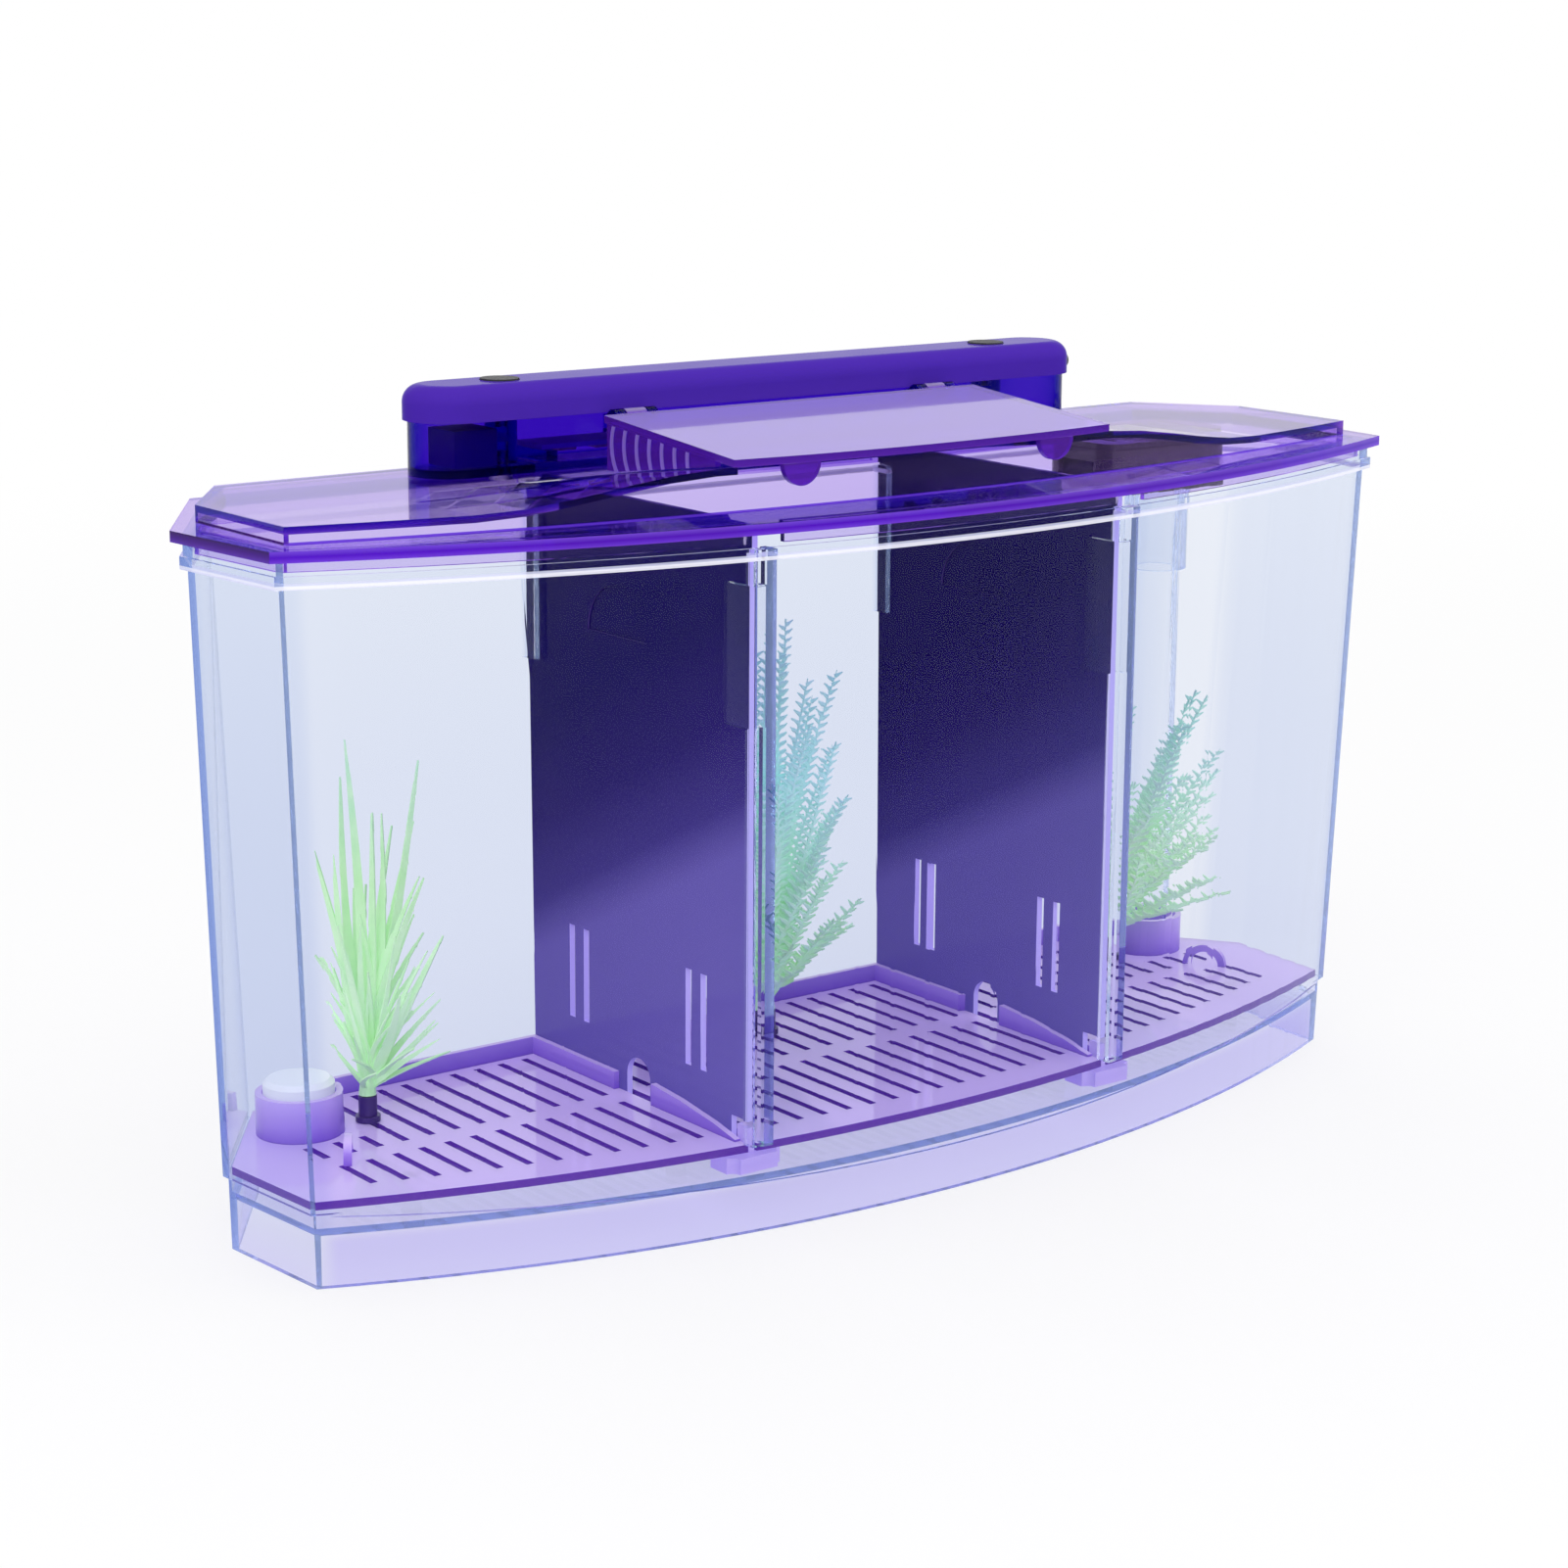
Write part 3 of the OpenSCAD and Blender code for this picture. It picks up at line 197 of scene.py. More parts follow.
def addLamps(kit):
    for name, place, size, watts in kit["lamps"]:
        data = bpy.data.lights.new(name, "AREA")
        data.size = size
        data.energy = watts
        lamp = bpy.data.objects.new(name, data)
        lamp.location = place
        aim = Vector(kit["lampAim"]) - Vector(place)
        lamp.rotation_euler = aim.to_track_quat("-Z", "Y").to_euler()
        scene.collection.objects.link(lamp)


addRoom(studio)
addFloor(studio)
addLamps(studio)
scene.cycles.max_bounces = 100
scene.cycles.transmission_bounces = 96       # light runs far inside the clear walls
scene.cycles.transparent_max_bounces = 64
scene.cycles.glossy_bounces = 8
scene.cycles.diffuse_bounces = 4
scene.view_settings.view_transform = "Standard"
print("floor, room and lamps are in place")


# materials
surface = {
    "detail": 3.0,              # of the noise that varies a surface
    "waveHeight": 0.0004,       # of a moulded surface, in metres
    "turned": (0.5, 0.85),      # share of a normal along an axis, from an edge to a face
    "upright": 0.3,             # how far the normal of an upright face may rise
    "caught": 0.98,             # reflected share above which light is caught inside a wall
    "ior": 1.49,
}


def startMaterial(name, values):
    made = bpy.data.materials.new(name)
    made.use_nodes = True
    shader = made.node_tree.nodes["Principled BSDF"]
    for socket, value in values.items():
        feed(made.node_tree, shader.inputs[socket], value)
    return made, shader


def objectNoise(tree, size, detail):
    # cloudy noise with spots of about this size in metres
    sockets = {"Vector": placeOf(tree), "Scale": 1 / size, "Detail": detail}
    return addNode(tree, "TexNoise", sockets).outputs["Fac"]


def mouldedSkin(tree, shader, roughness, grain, bump):
    # roughness that varies from place to place, and the faint waves of a moulded surface
    noise = objectNoise(tree, grain, surface["detail"])
    feed(tree, shader.inputs["Roughness"], spread(tree, noise, *roughness))
    if bump:
        sockets = {"Strength": bump, "Distance": surface["waveHeight"], "Height": noise}
        feed(tree, shader.inputs["Normal"], addNode(tree, "Bump", sockets).outputs["Normal"])


def heightRamp(tree, low, high, stops, lean=0):
    # colours by height between two heights in metres, on lines that may slope from front to back
    share = spread(tree, along(tree, (0, lean, 1)), 0, 1, (low, high))
    ramp = addNode(tree, "ValToRGB", {"Fac": share})
    elements = ramp.color_ramp.elements
    while len(elements) < len(stops):
        elements.new(0.5)
    for element, (at, colour) in zip(elements, stops):
        element.position = at
        element.color = (*colour, 1)
    return ramp.outputs["Color"]


def normalAlong(tree, axis):
    turn = addNode(tree, "TexCoord").outputs["Normal"]
    return addNode(tree, "SeparateXYZ", {0: turn}).outputs[axis]


def allOf(tree, tests):
    # 1 where every test holds, each a comparison and what it compares
    share = 1.0
    for kind, *values in tests:
        share = maths(tree, "MULTIPLY", share, maths(tree, kind, *values))
    return share


def bandShare(tree, band):
    # 1 on upright faces between two heights in metres, where a band of painted light goes
    height = along(tree, (0, 0, 1))
    return allOf(tree, [("GREATER_THAN", height, band["low"]), ("LESS_THAN", height, band["high"]),
                        ("COMPARE", normalAlong(tree, "Z"), 0, surface["upright"])])


def ribShare(tree, ribs):
    # 1 on what stands out past the cheeks of the flap, below its sloping plate
    out = maths(tree, "ABSOLUTE", along(tree, (1, 0, 0)))
    height = along(tree, (0, -ribs["slope"], 1))
    return allOf(tree, [("GREATER_THAN", out, ribs["out"]), ("LESS_THAN", height, ribs["under"])])


def facing(tree, axis, edge, face):
    # one colour for faces that look along an axis, and another for the edges between them
    turned = maths(tree, "ABSOLUTE", normalAlong(tree, axis))
    return mixed(tree, spread(tree, turned, 0, 1, surface["turned"]), edge, face)


def byDepth(tree, between, front, back):
    # one colour in front and another at the back, along Y in metres
    return mixed(tree, spread(tree, along(tree, (0, 1, 0)), 0, 1, between), front, back)


def byWall(tree, walls, front, back):
    # one colour for the bowed front, and another for the back wall and the ends, which lean out
    share = spread(tree, along(tree, (0, 1, 0)), 0, 1, walls["depth"])
    for side in (-1, 1):
        end = spread(tree, along(tree, (side, 0, -walls["lean"])), 0, 1, walls["ends"])
        share = maths(tree, "MAXIMUM", share, end)
    return mixed(tree, share, front, back)


def caughtLight(tree, ior, leak):
    # a share of the light that total reflection would keep inside a wall
    bounce = addNode(tree, "Fresnel", {"IOR": ior}).outputs[0]
    return maths(tree, "MULTIPLY", maths(tree, "GREATER_THAN", bounce, surface["caught"]), leak)


def letLampsThrough(tree, shader, finish):
    # lamps and scattered light pass straight through clear plastic, so what is inside is lit
    path = addNode(tree, "LightPath").outputs
    shares = [(path["Is Diffuse Ray"], "pass"), (path["Is Shadow Ray"], "pass")]
    if "leak" in finish:
        shares.insert(0, (caughtLight(tree, finish["ior"], finish["leak"]), "caught"))
    last = shader.outputs[0]
    for share, colour in shares:
        clear = addNode(tree, "BsdfTransparent", {"Color": finish[colour]}).outputs[0]
        last = mixedShader(tree, share, last, clear)
    feed(tree, tree.nodes["Material Output"].inputs["Surface"], last)


def tintedPlastic(name, finish):
    # clear plastic whose colour deepens with the length that light travels in it
    through = finish.get("through", 1.0)
    colour = finish.get("base", (1, 1, 1))
    made, shader = startMaterial(name, {
        "Base Color": colour, "Transmission Weight": through,
        "IOR": finish.get("ior", surface["ior"]), "Specular Tint": finish.get("shine", (1, 1, 1))})
    tree = made.node_tree
    mouldedSkin(tree, shader, finish["roughness"], finish["grain"], finish["bump"])
    # painted violet light on the clear skirt, and painted shade on the back wall and the ends
    if "front" in finish:
        front, back = (heightRamp(tree, finish["low"], finish["high"], finish[k])
                       for k in ("front", "back"))
        colour = byWall(tree, finish["walls"], front, back)
    if "edge" in finish:
        colour = facing(tree, "Z", finish["edge"], colour)
    # painted shade on upright faces cut into a plate, paler above it
    if "rise" in finish:
        rise = heightRamp(tree, finish["low"], finish["high"], finish["rise"])
        colour = facing(tree, "Z", rise, colour)
    if "ribs" in finish:
        ribs = finish["ribs"]
        colour = mixed(tree, ribShare(tree, ribs), colour, ribs["colour"])
    # a band of painted light: a painted highlight on the rim of the tank, and a painted glow and
    # shade on the flange of the lid
    if "band" in finish:
        band = finish["band"]
        share = bandShare(tree, band)
        front, end = (heightRamp(tree, band["low"], band["high"], band[k])
                      for k in ("front", "end"))
        colour = mixed(tree, share, colour, facing(tree, "X", front, end))
        weight = spread(tree, share, through, band["through"], (0, 1))
        feed(tree, shader.inputs["Transmission Weight"], weight)
    feed(tree, shader.inputs["Base Color"], colour)
    sockets = {"Color": finish["tint"], "Density": finish["density"]}
    soak = addNode(tree, "VolumeAbsorption", sockets).outputs[0]
    feed(tree, tree.nodes["Material Output"].inputs["Volume"], soak)
    letLampsThrough(tree, shader, finish)
    return made


# tint and density colour what is seen through a wall, base and shine its surface, pass the light
# of the lamps, and caught what leaks from its edges; roughness, grain and bump make the skin
violetTint = (0.41, 0.053, 0.862)
plateTint = (0.50, 0.20, 0.90)
violetShine = (0.6, 0.4, 1.0)
clearFinish = {
    "tint": (0.24, 0.40, 0.76), "density": 38, "ior": 1.2,
    "roughness": (0.005, 0.02), "grain": 0.02, "bump": 0.01,
    "shine": (0.2, 0.2, 0.3), "pass": (0.985, 0.985, 0.99),
    "leak": 0.4, "caught": (0.53, 0.65, 0.96),
    # painted violet light from the plates on the lavender skirt, then clear in front, lighter
    # towards the top, and painted shade a little deeper at the back and the ends
    "low": 0.0, "high": 0.17,
    "walls": {"depth": (0.038, 0.047), "ends": (0.1585, 0.1615), "lean": 0.034},
    "front": [(0.0, (0.74, 0.70, 0.985)), (0.065, (0.75, 0.71, 0.985)),
              (0.085, (0.94, 0.935, 0.99)), (0.13, (0.97, 0.977, 0.993)),
              (1.0, (0.985, 0.99, 0.997))],
    "back": [(0.0, (0.80, 0.77, 0.975)), (0.075, (0.86, 0.865, 0.97)),
             (0.13, (0.83, 0.86, 0.955)), (0.55, (0.845, 0.875, 0.955)),
             (1.0, (0.90, 0.925, 0.975))],
    # painted highlight: a pale line where the rounded lower edge of the rim would catch the light,
    # dimmer on the ends
    "band": {"low": 0.1644, "high": 0.1654, "through": 0.35,
             "front": [(0, (0.93, 0.92, 1.0)), (1, (0.97, 0.97, 1.0))],
             "end": [(0, (0.80, 0.80, 0.95)), (1, (0.90, 0.90, 1.0))]},
}
lidFinish = {
    "tint": violetTint, "density": 270, "ior": 1.24,
    "roughness": (0.01, 0.04), "grain": 0.015, "bump": 0.008,
    "base": (0.98, 0.95, 1.0), "shine": violetShine, "pass": (0.95, 0.94, 0.97),
    "leak": 0.45, "caught": (0.46, 0.18, 0.92),
    # painted glow on the flange's rim, standing in for the light that runs inside the lid, with
    # painted shade that makes it darkest at the ends
    "band": {"low": 0.1706, "high": 0.1736, "through": 0.4,
             "front": [(0, (0.24, 0.07, 0.80)), (0.5, (0.11, 0.006, 0.60)),
                       (1, (0.26, 0.10, 0.82))],
             "end": [(0, (0.14, 0.04, 0.50)), (0.5, (0.07, 0.004, 0.24)), (1, (0.03, 0.0, 0.09))]},
}
flapFinish = {
    "tint": violetTint, "density": 400, "ior": 1.2, "through": 0.65,
    "roughness": (0.03, 0.07), "grain": 0.015, "bump": 0.008,
    "base": (0.70, 0.57, 1.0), "shine": violetShine, "pass": (0.9, 0.86, 0.97),
    "edge": (0.17, 0.03, 0.50),
    "ribs": {"out": 0.0588, "slope": 0.096, "under": 0.1878, "colour": (0.62, 0.42, 1.0)},
}
hoodFinish = {
    "tint": violetTint, "density": 1400, "ior": 1.16,
    "roughness": (0.03, 0.07), "grain": 0.012, "bump": 0.01,
    "pass": (0.9, 0.9, 0.95), "leak": 0.2, "caught": (0.40, 0.12, 0.85),
}
plateFinish = {
    "tint": plateTint, "density": 160, "ior": 1.3, "through": 0.25,
    "roughness": (0.03, 0.08), "grain": 0.012, "bump": 0.02,
    "base": (0.84, 0.66, 1.0), "pass": (0.9, 0.88, 0.97),
    # upright faces: painted shade deep where they are cut into the plate, paler where they stand
    # above it
    "low": 0.0188, "high": 0.0312,
    "rise": [(0.0, (0.13, 0.04, 0.36)), (0.15, (0.14, 0.04, 0.38)), (0.18, (0.34, 0.17, 0.76)),
             (0.5, (0.52, 0.33, 0.88)), (1.0, (0.70, 0.52, 0.97))],
}
clipFinish = {
    "tint": plateTint, "density": 120, "ior": 1.25, "through": 0.35,
    "roughness": (0.05, 0.10), "grain": 0.012, "bump": 0.02,
    "base": (0.74, 0.60, 1.0), "pass": (0.9, 0.88, 0.97),
}
smokeFinish = {
    "tint": (0.5, 0.42, 0.45), "density": 420, "through": 0.6,
    "roughness": (0.05, 0.12), "grain": 0.01, "bump": 0.04,
    "base": (0.16, 0.12, 0.14), "pass": (0.8, 0.8, 0.8),
}
frostFinish = {
    "tint": (0.9, 0.92, 0.98), "density": 60,
    "roughness": (0.35, 0.5), "grain": 0.004, "bump": 0.2,
    "pass": (0.9, 0.9, 0.93),
}
clearPlastic = tintedPlastic("clearPlastic", clearFinish)
lidPlastic = tintedPlastic("lidViolet", lidFinish)
hoodPlastic = tintedPlastic("hoodViolet", hoodFinish)
flapPlastic = tintedPlastic("flapViolet", flapFinish)
platePlastic = tintedPlastic("plateViolet", plateFinish)
clipPlastic = tintedPlastic("clipViolet", clipFinish)
smokePlastic = tintedPlastic("smokePlastic", smokeFinish)
frostedWindow = tintedPlastic("frostedWindow", frostFinish)


def solidPlastic(name, finish):
    # opaque, with a gloss of its own colour where it has a shine
    values = {"Base Color": finish["colour"]}
    if "shine" in finish:
        values.update({"IOR": finish["ior"], "Specular Tint": finish["shine"]})
    if "metallic" in finish:
        values["Metallic"] = finish["metallic"]
    made, shader = startMaterial(name, values)
    mouldedSkin(made.node_tree, shader, finish["roughness"], finish["grain"], finish["bump"])
    return made, shader


dividerFinish = {
    "colour": (0.03, 0.01, 0.14), "shine": (0.30, 0.15, 0.95), "ior": 1.2,
    "roughness": (0.05, 0.09), "grain": 0.05, "bump": 0,
    # painted reflection of the pale floor in the lower half, up to a soft line that rises to the
    # front
    "low": 0.0, "high": 0.19, "lean": 0.5,
    "stops": [(0.0, (0.185, 0.140, 0.48)), (0.38, (0.150, 0.110, 0.42)),
              (0.45, (0.050, 0.030, 0.22)), (0.56, (0.018, 0.006, 0.13)),
              (0.70, (0.005, 0.0, 0.085)), (1.0, (0.003, 0.0, 0.06))],
    # painted highlight on the pale cut edges and the walls of the slots, but for the faint ones of
    # the grip
    "edge": (0.60, 0.50, 0.95),
    "grip": {"edge": (0.07, 0.04, 0.24), "height": (0.108, 0.112), "depth": (-0.0405, -0.0395)},
}


def dividerPlastic(name, finish):
    made, shader = solidPlastic(name, finish)
    tree = made.node_tree
    # painted reflection of the floor on the faces
    face = heightRamp(tree, finish["low"], finish["high"], finish["stops"], finish["lean"])
    # painted highlight on the cut edges, faint on those of the grip
    grip = finish["grip"]
    high = spread(tree, along(tree, (0, 0, 1)), 0, 1, grip["height"])
    behind = mixed(tree, high, finish["edge"], grip["edge"])
    edge = byDepth(tree, grip["depth"], finish["edge"], behind)
    feed(tree, shader.inputs["Base Color"], facing(tree, "X", edge, face))
    return made


solidFinishes = {
    "hoodCapViolet": {
        "colour": (0.070, 0.024, 0.38), "shine": (0.5, 0.35, 1.0), "ior": 1.04,
        "roughness": (0.10, 0.16), "grain": 0.02, "bump": 0.02},
    "capWhite": {
        "colour": (0.96, 0.96, 0.97), "roughness": (0.3, 0.42), "grain": 0.004, "bump": 0.08},
    "plugBlack": {
        "colour": (0.02, 0.02, 0.024), "roughness": (0.5, 0.7), "grain": 0.001, "bump": 0.25},
    "driverBlack": {
        "colour": (0.09, 0.03, 0.30), "roughness": (0.35, 0.5), "grain": 0.002, "bump": 0.15},
    "pegViolet": {
        "colour": (0.05, 0.02, 0.16), "roughness": (0.3, 0.45), "grain": 0.003, "bump": 0.1},
    "lampBoard": {
        "colour": (0.80, 0.80, 0.78), "roughness": (0.4, 0.5), "grain": 0.003, "bump": 0.05},
    "lampChip": {
        "colour": (0.95, 0.85, 0.45), "roughness": (0.25, 0.35), "grain": 0.002, "bump": 0.05},
    "carbonGrain": {
        "colour": (0.03, 0.03, 0.032), "roughness": (0.6, 0.9), "grain": 0.0015, "bump": 0.8},
    "screwSteel": {
        "colour": (0.72, 0.73, 0.75), "metallic": 1.0,
        "roughness": (0.2, 0.4), "grain": 0.001, "bump": 0.2},
}
darkDivider = dividerPlastic("dividerViolet", dividerFinish)
solids = {name: solidPlastic(name, finish)[0] for name, finish in solidFinishes.items()}

dressing = {
    clearPlastic: ["tank_body", "lift_tube", "tube_collar"],
    platePlastic: ["floor_plate_left", "floor_plate_middle", "floor_plate_right"],
    clipPlastic: ["plate_clip_left", "plate_clip_right"],
    darkDivider: ["divider_left", "divider_right"],
    solids["capWhite"]: ["socket_cap_left", "socket_cap_middle"],
    smokePlastic: ["filter_head", "filter_head_cover"],
    solids["carbonGrain"]: ["carbon_cartridge"],
    solids["pegViolet"]: ["plant_left_foot", "plant_middle_foot", "plant_right_foot"],
    lidPlastic: ["lid"],
    flapPlastic: ["feeding_flap"],
    hoodPlastic: ["hood_body"],
    solids["hoodCapViolet"]: ["hood_cap"],
    solids["screwSteel"]: ["lid_screws", "hood_screws", "flap_hinge_pins"],
    solids["plugBlack"]: ["screw_plugs", "cable_gland"],
    solids["driverBlack"]: ["driver_box"],
    frostedWindow: ["light_window"],
    solids["lampBoard"]: ["led_board"],
    solids["lampChip"]: ["leds"],
}
for material, names in dressing.items():
    for name in names:
        for holder in nodes[name].material_slots:
            holder.material = material
print("packed nodes are dressed")


# plants, in millimetres
golden = math.radians(137.5)    # turn from one leaf to the next
leafSpread = {
    "reach": 18, "turn": -37.6, "rootHeight": 28.6, "rootDepth": 25.95,
    "inner": 0.45,              # share of the reach that the first leaf has
    "drop": 0.75,               # share of the height that the last leaf loses
    "rise": 1.35,               # how much a leaf rises before it leans out
}
rootKnob = {"foot": 2.1, "top": 1.5, "tall": 5, "centre": 1.6, "segments": 12}
grassPlant = {
    "name": "grassLeft", "node": "plant_left", "x": -123.1, "tall": 89, "lean": 0.17, "deep": 0.63,
    "ahead": 0.05, "phase": 220, "seed": 5,
    # leaves, height, reach, turn, width
    "rings": [(13, 1.0, 1.0, 0, 3.0), (11, 0.80, 0.85, 70, 2.6), (22, 0.52, 0.95, 25, 1.8),
              (24, 0.38, 1.0, 130, 1.4)],
    "cuts": 9, "thick": 0.5, "sway": 2.2, "twist": 0.7,
    # the path of the cap beside it, and how a leaf in its way is drawn in and up
    "cap": {"x": -140, "y": 28.9, "room": 10.8, "top": 58, "steps": 16, "drawIn": 0.9, "lift": 1},
}
fernLeaf = {
    "cuts": 7, "wide": 0.9, "thick": 0.7, "sway": 2.0, "twist": 0.6,
    # leaflets: spacing, the first one's place, length, how much they shorten, how far pairs part
    "pitch": 2.3, "first": 3, "length": 4.2, "shorten": 0.45, "part": 0.55,
    "point": 0.72, "leafletWide": 0.9, "leafletThick": 0.45,
}
fernMiddle = {
    "name": "fernMiddle", "node": "plant_middle", "x": 0, "tall": 104, "lean": 0.33, "deep": 0.5,
    "ahead": 0.05, "phase": 100, "seed": 11,
    # leaves, height, reach, turn, lean
    "rings": [(13, 1.0, 1.0, 0, 0), (13, 0.92, 0.7, 50, 0.1), (12, 0.75, 1.0, 95, 0.1),
              (9, 0.5, 1.0, 160, 0)],
}
fernRight = {
    "name": "fernRight", "node": "plant_right", "x": 123.1, "tall": 72, "lean": 0.7, "deep": 0.16,
    "ahead": 0.25, "phase": 20, "seed": 17,
    "rings": [(13, 1.0, 1.0, 0, 0.12), (8, 0.98, 0.5, 40, 0.6), (8, 0.75, 0.7, 110, 0.5),
              (7, 0.5, 0.9, 160, 0.2)],
}


def standing(plant):
    # turns a plant and puts it on its peg, in millimetres
    turn = Matrix.Rotation(math.radians(leafSpread["turn"]), 4, "Z")
    root = (plant["x"], leafSpread["rootDepth"], leafSpread["rootHeight"])
    return Matrix.Translation(root) @ turn


def leafTips(plant, count, height, reach, phase):
    # the ends of the leaves, from the root
    tips = []
    for i in range(count):
        t = i / (count - 1)
        share = leafSpread["inner"] + (1 - leafSpread["inner"]) * math.sqrt(t)
        out = leafSpread["reach"] * reach * share
        a = math.radians(plant["phase"] + phase) + i * golden
        tips.append(Vector((
            plant["lean"] * leafSpread["reach"] + out * math.cos(a),
            plant["deep"] * out * math.sin(a) - plant["ahead"] * leafSpread["reach"],
            plant["tall"] * height * (1 - leafSpread["drop"] * t))))
    return tips


def keepMould(bm, name):
    # stands a shape one high on the ground, for many copies
    bmesh.ops.translate(bm, vec=(0, 0, 0.5), verts=bm.verts)
    mesh = bpy.data.meshes.new(name)
    bm.to_mesh(mesh)
    bm.free()
    return mesh


def strapMould(cuts):
    # a strap one high, one wide and one thick, cut across
    bm = bmesh.new()
    bmesh.ops.create_cube(bm, size=1)
    upright = [e for e in bm.edges if abs(e.verts[0].co.z - e.verts[1].co.z) > 0.5]
    bmesh.ops.subdivide_edges(bm, edges=upright, cuts=cuts, use_grid_fill=True)
    return keepMould(bm, "strapMould")


def leafletMould():
    # a small pointed leaf along +Z, one long
    bm = bmesh.new()
    bmesh.ops.create_cone(bm, cap_ends=True, segments=5, radius1=0.30, radius2=0.08, depth=1)
    return keepMould(bm, "leafletMould")


def addCopy(bm, mould):
    start = len(bm.verts)
    bm.from_mesh(mould)
    bm.verts.ensure_lookup_table()
    return bm.verts[start:]


def swayOf(dice, size):
    return Vector((dice.uniform(-1, 1), dice.uniform(-1, 1), 0)) * size


def curvePoint(tip, bow, t):
    # a leaf rises first and then leans out to its tip
    t = max(t, 0)
    lean = t ** leafSpread["rise"]
    return Vector((tip.x * lean, tip.y * lean, tip.z * t)) + bow * math.sin(math.pi * t)


def strapWidth(t):
    # half as wide at the root, widest above the middle and pointed at the tip
    return (0.55 + 0.45 * math.sin(math.pi * min(t * 1.2 + 0.15, 0.9))) * (1 - 0.85 * t ** 4)


def addStrap(bm, mould, tip, bow, width, thick, turn):
    across = Vector((math.cos(turn), math.sin(turn), 0))
    near = 0.02
    for v in addCopy(bm, mould):
        t = v.co.z
        ahead = curvePoint(tip, bow, min(t + near, 1)) - curvePoint(tip, bow, max(t - near, 0))
        ahead.normalize()
        flat = ahead.cross(across).normalized()
        wide = flat.cross(ahead).normalized()
        v.co = (curvePoint(tip, bow, t) + wide * (v.co.x * width * strapWidth(t))
                + flat * (v.co.y * thick))


def addLeaflet(bm, mould, root, ahead, across, side, length):
    point = (ahead * fernLeaf["point"] + across * side).normalized()
    flat = ahead.cross(across).normalized()
    wide = flat.cross(point).normalized()
    for v in addCopy(bm, mould):
        v.co = (root + point * (v.co.z * length)
                + wide * (v.co.x * length * fernLeaf["leafletWide"])
                + flat * (v.co.y * length * fernLeaf["leafletThick"]))


def addRootKnob(bm, knob):
    made = bmesh.ops.create_cone(bm, cap_ends=True, segments=knob["segments"],
                                 radius1=knob["foot"], radius2=knob["top"], depth=knob["tall"])
    bmesh.ops.translate(bm, vec=(0, 0, knob["centre"]), verts=made["verts"])


def finishPlant(bm, plant, material):
    addRootKnob(bm, rootKnob)
    bmesh.ops.transform(bm, matrix=Matrix.Scale(mm, 4) @ standing(plant), verts=bm.verts)
    bmesh.ops.recalc_face_normals(bm, faces=bm.faces)
    mesh = bpy.data.meshes.new(plant["name"])
    bm.to_mesh(mesh)
    bm.free()
    piece = bpy.data.objects.new(plant["name"], mesh)
    scene.collection.objects.link(piece)
    mesh.materials.append(material)
    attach(piece, "tank")
    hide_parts(plant["node"])
    print(plant["name"], len(mesh.polygons), "faces")
    return piece


def clearOfCap(plant, tip, bow):
    # whether a leaf stays out of the path of the cap when it is pulled
    cap = plant["cap"]
    for k in range(1, cap["steps"] + 1):
        at = standing(plant) @ curvePoint(tip, bow, k / cap["steps"])
        if at.z < cap["top"] and math.hypot(at.x - cap["x"], at.y - cap["y"]) < cap["room"]:
            return False
    return True


def buildGrass(plant, material):
    dice = random.Random(plant["seed"])
    mould = strapMould(plant["cuts"])
    cap = plant["cap"]
    bm = bmesh.new()
    for count, height, reach, phase, width in plant["rings"]:
        for tip in leafTips(plant, count, height, reach, phase):
            bow = swayOf(dice, plant["sway"])
            while not clearOfCap(plant, tip, bow):
                tip = Vector((tip.x * cap["drawIn"], tip.y * cap["drawIn"], tip.z + cap["lift"]))
            turn = dice.uniform(-plant["twist"], plant["twist"])
            addStrap(bm, mould, tip, bow, width, plant["thick"], turn)
    return finishPlant(bm, plant, material)


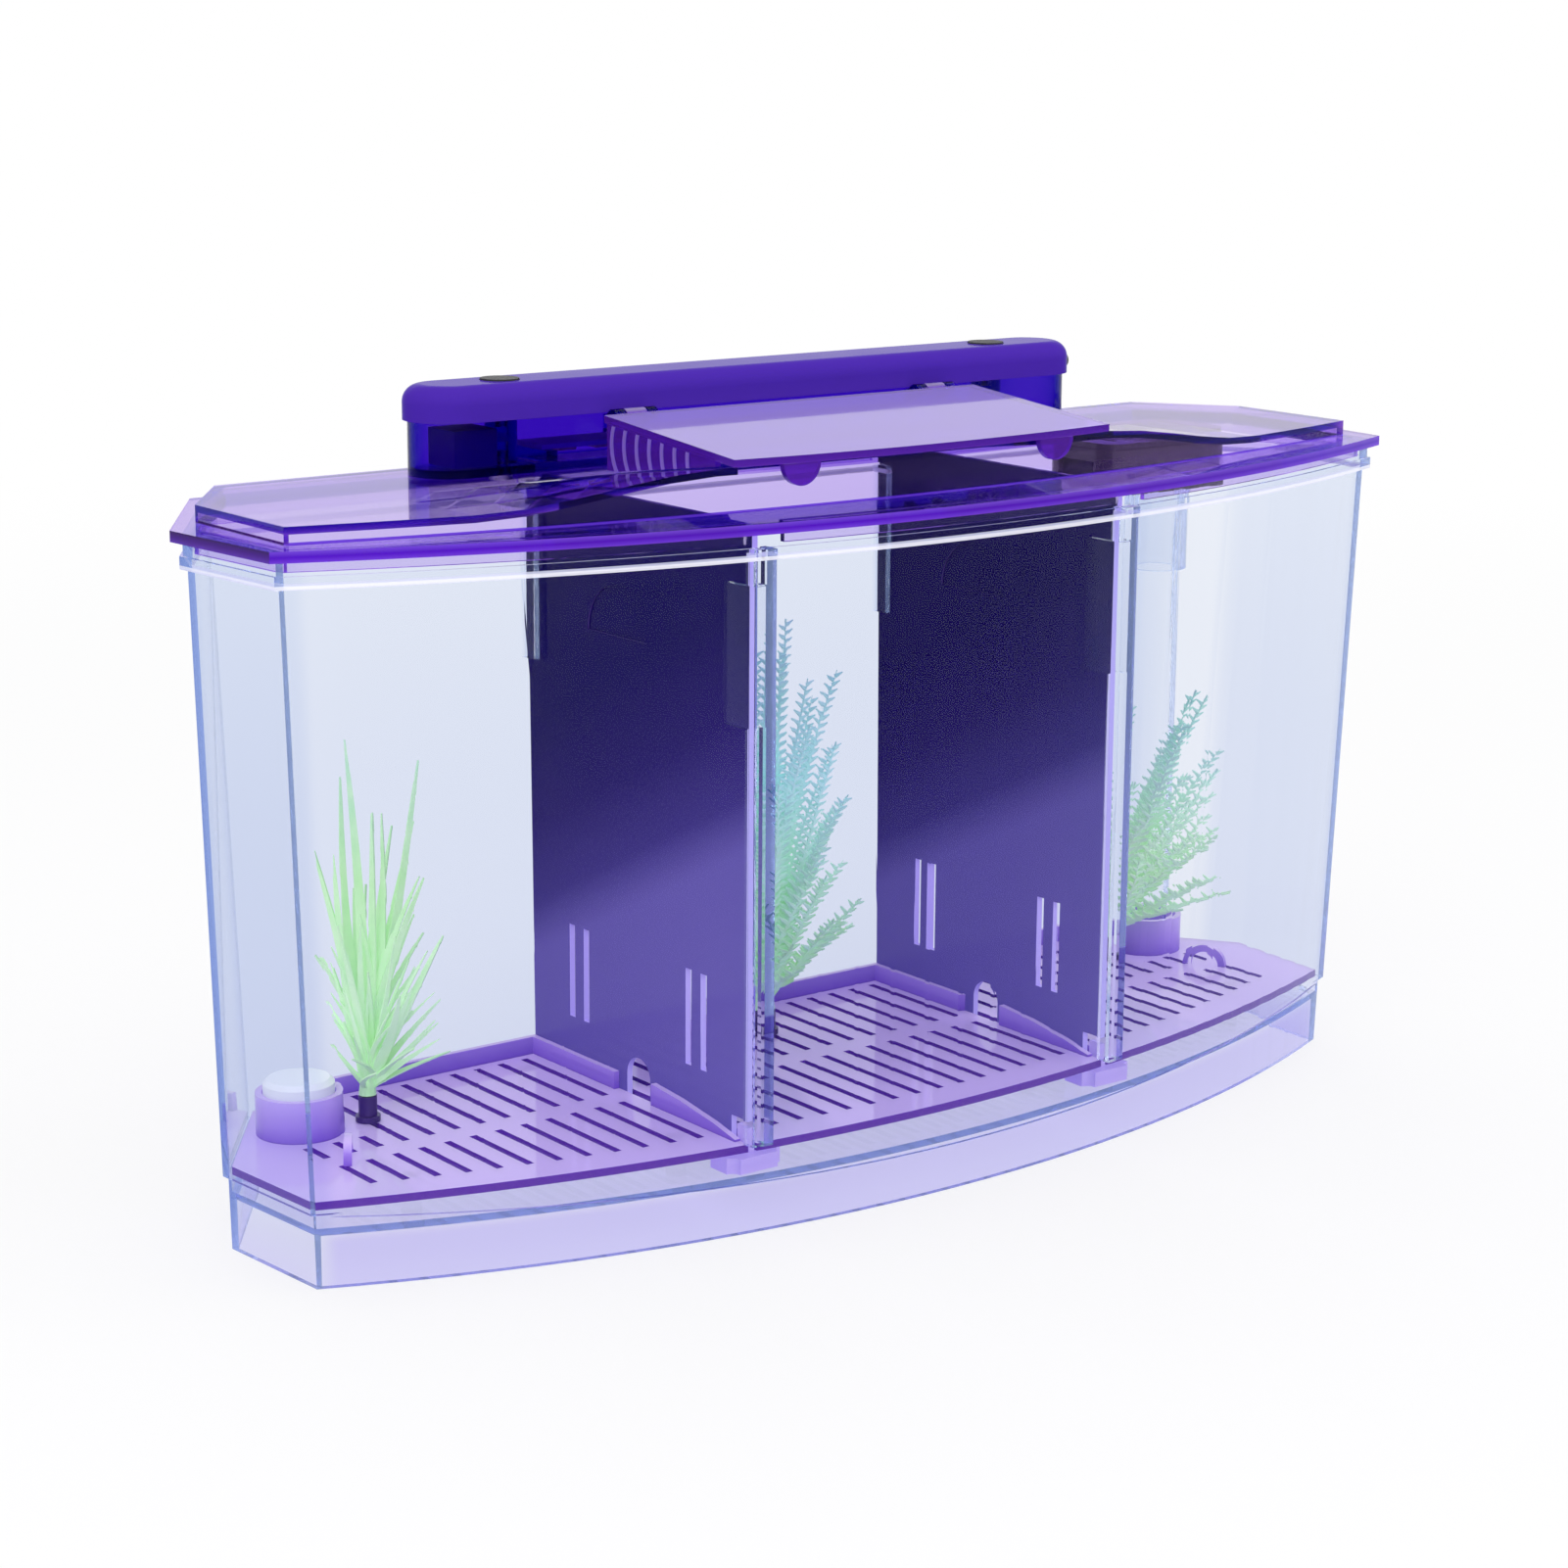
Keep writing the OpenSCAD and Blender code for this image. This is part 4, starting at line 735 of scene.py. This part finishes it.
def buildFern(plant, material):
    dice = random.Random(plant["seed"])
    mould = strapMould(fernLeaf["cuts"])
    leaflet = leafletMould()
    bm = bmesh.new()
    for count, height, reach, phase, lean in plant["rings"]:
        for tip in leafTips(plant, count, height, reach, phase):
            tip.x += lean * leafSpread["reach"]
            bow = swayOf(dice, fernLeaf["sway"])
            turn = dice.uniform(-fernLeaf["twist"], fernLeaf["twist"])
            addStrap(bm, mould, tip, bow, fernLeaf["wide"], fernLeaf["thick"], turn)
            across = Vector((math.cos(turn), math.sin(turn), 0))
            steps = int(tip.length / fernLeaf["pitch"])
            for k in range(fernLeaf["first"], steps):
                t = k / steps
                root = curvePoint(tip, bow, t)
                ahead = (curvePoint(tip, bow, t + 0.01) - root).normalized()
                length = fernLeaf["length"] * (1 - fernLeaf["shorten"] * t)
                for side in (-1, 1):
                    shift = ahead * (fernLeaf["part"] * side)
                    addLeaflet(bm, leaflet, root + shift, ahead, across, side, length)
    return finishPlant(bm, plant, material)


leafSkin = {
    "glow": 0.14,               # painted glow: the leaves give off light of their own colour, to make them brighter
    "patchSize": 0.006, "patchDetail": 2.0, "patchShare": 0.55,
    "roughness": (0.35, 0.5), "grain": 0.003, "bump": 0.1,
}
leafColours = {
    # from the root up, between two heights in metres, and the colour of the patches
    "grassLeaf": {
        "low": 0.028, "high": 0.118, "patch": (0.68, 0.90, 0.60),
        "stops": [(0.0, (0.48, 0.84, 0.42)), (0.25, (0.62, 0.88, 0.60)), (0.6, (0.50, 0.84, 0.42)),
                  (1.0, (0.46, 0.78, 0.56))]},
    "fernLeaf": {
        "low": 0.028, "high": 0.132, "patch": (0.68, 0.94, 0.90),
        "stops": [(0.0, (0.46, 0.80, 0.36)), (0.3, (0.50, 0.82, 0.56)), (0.6, (0.54, 0.90, 0.86)),
                  (1.0, (0.24, 0.58, 0.56))]},
    "fernRightLeaf": {
        "low": 0.028, "high": 0.100, "patch": (0.62, 0.88, 0.70),
        "stops": [(0.0, (0.52, 0.82, 0.48)), (0.35, (0.66, 0.90, 0.62)), (0.7, (0.54, 0.82, 0.72)),
                  (1.0, (0.24, 0.58, 0.54))]},
}


def leafMaterial(name):
    leaf = leafColours[name]
    start = leaf["stops"][1][1]
    # a painted glow in the leaf's own colour
    made, shader = startMaterial(name, {"Base Color": start, "Emission Strength": leafSkin["glow"]})
    tree = made.node_tree
    noise = objectNoise(tree, leafSkin["patchSize"], leafSkin["patchDetail"])
    patches = spread(tree, noise, 0.0, leafSkin["patchShare"])
    height = heightRamp(tree, leaf["low"], leaf["high"], leaf["stops"])
    colour = mixed(tree, patches, height, leaf["patch"])
    for socket in ("Base Color", "Emission Color"):
        feed(tree, shader.inputs[socket], colour)
    mouldedSkin(tree, shader, leafSkin["roughness"], leafSkin["grain"], leafSkin["bump"])
    return made


buildGrass(grassPlant, leafMaterial("grassLeaf"))
buildFern(fernMiddle, leafMaterial("fernLeaf"))
buildFern(fernRight, leafMaterial("fernRightLeaf"))
print("plants are made")
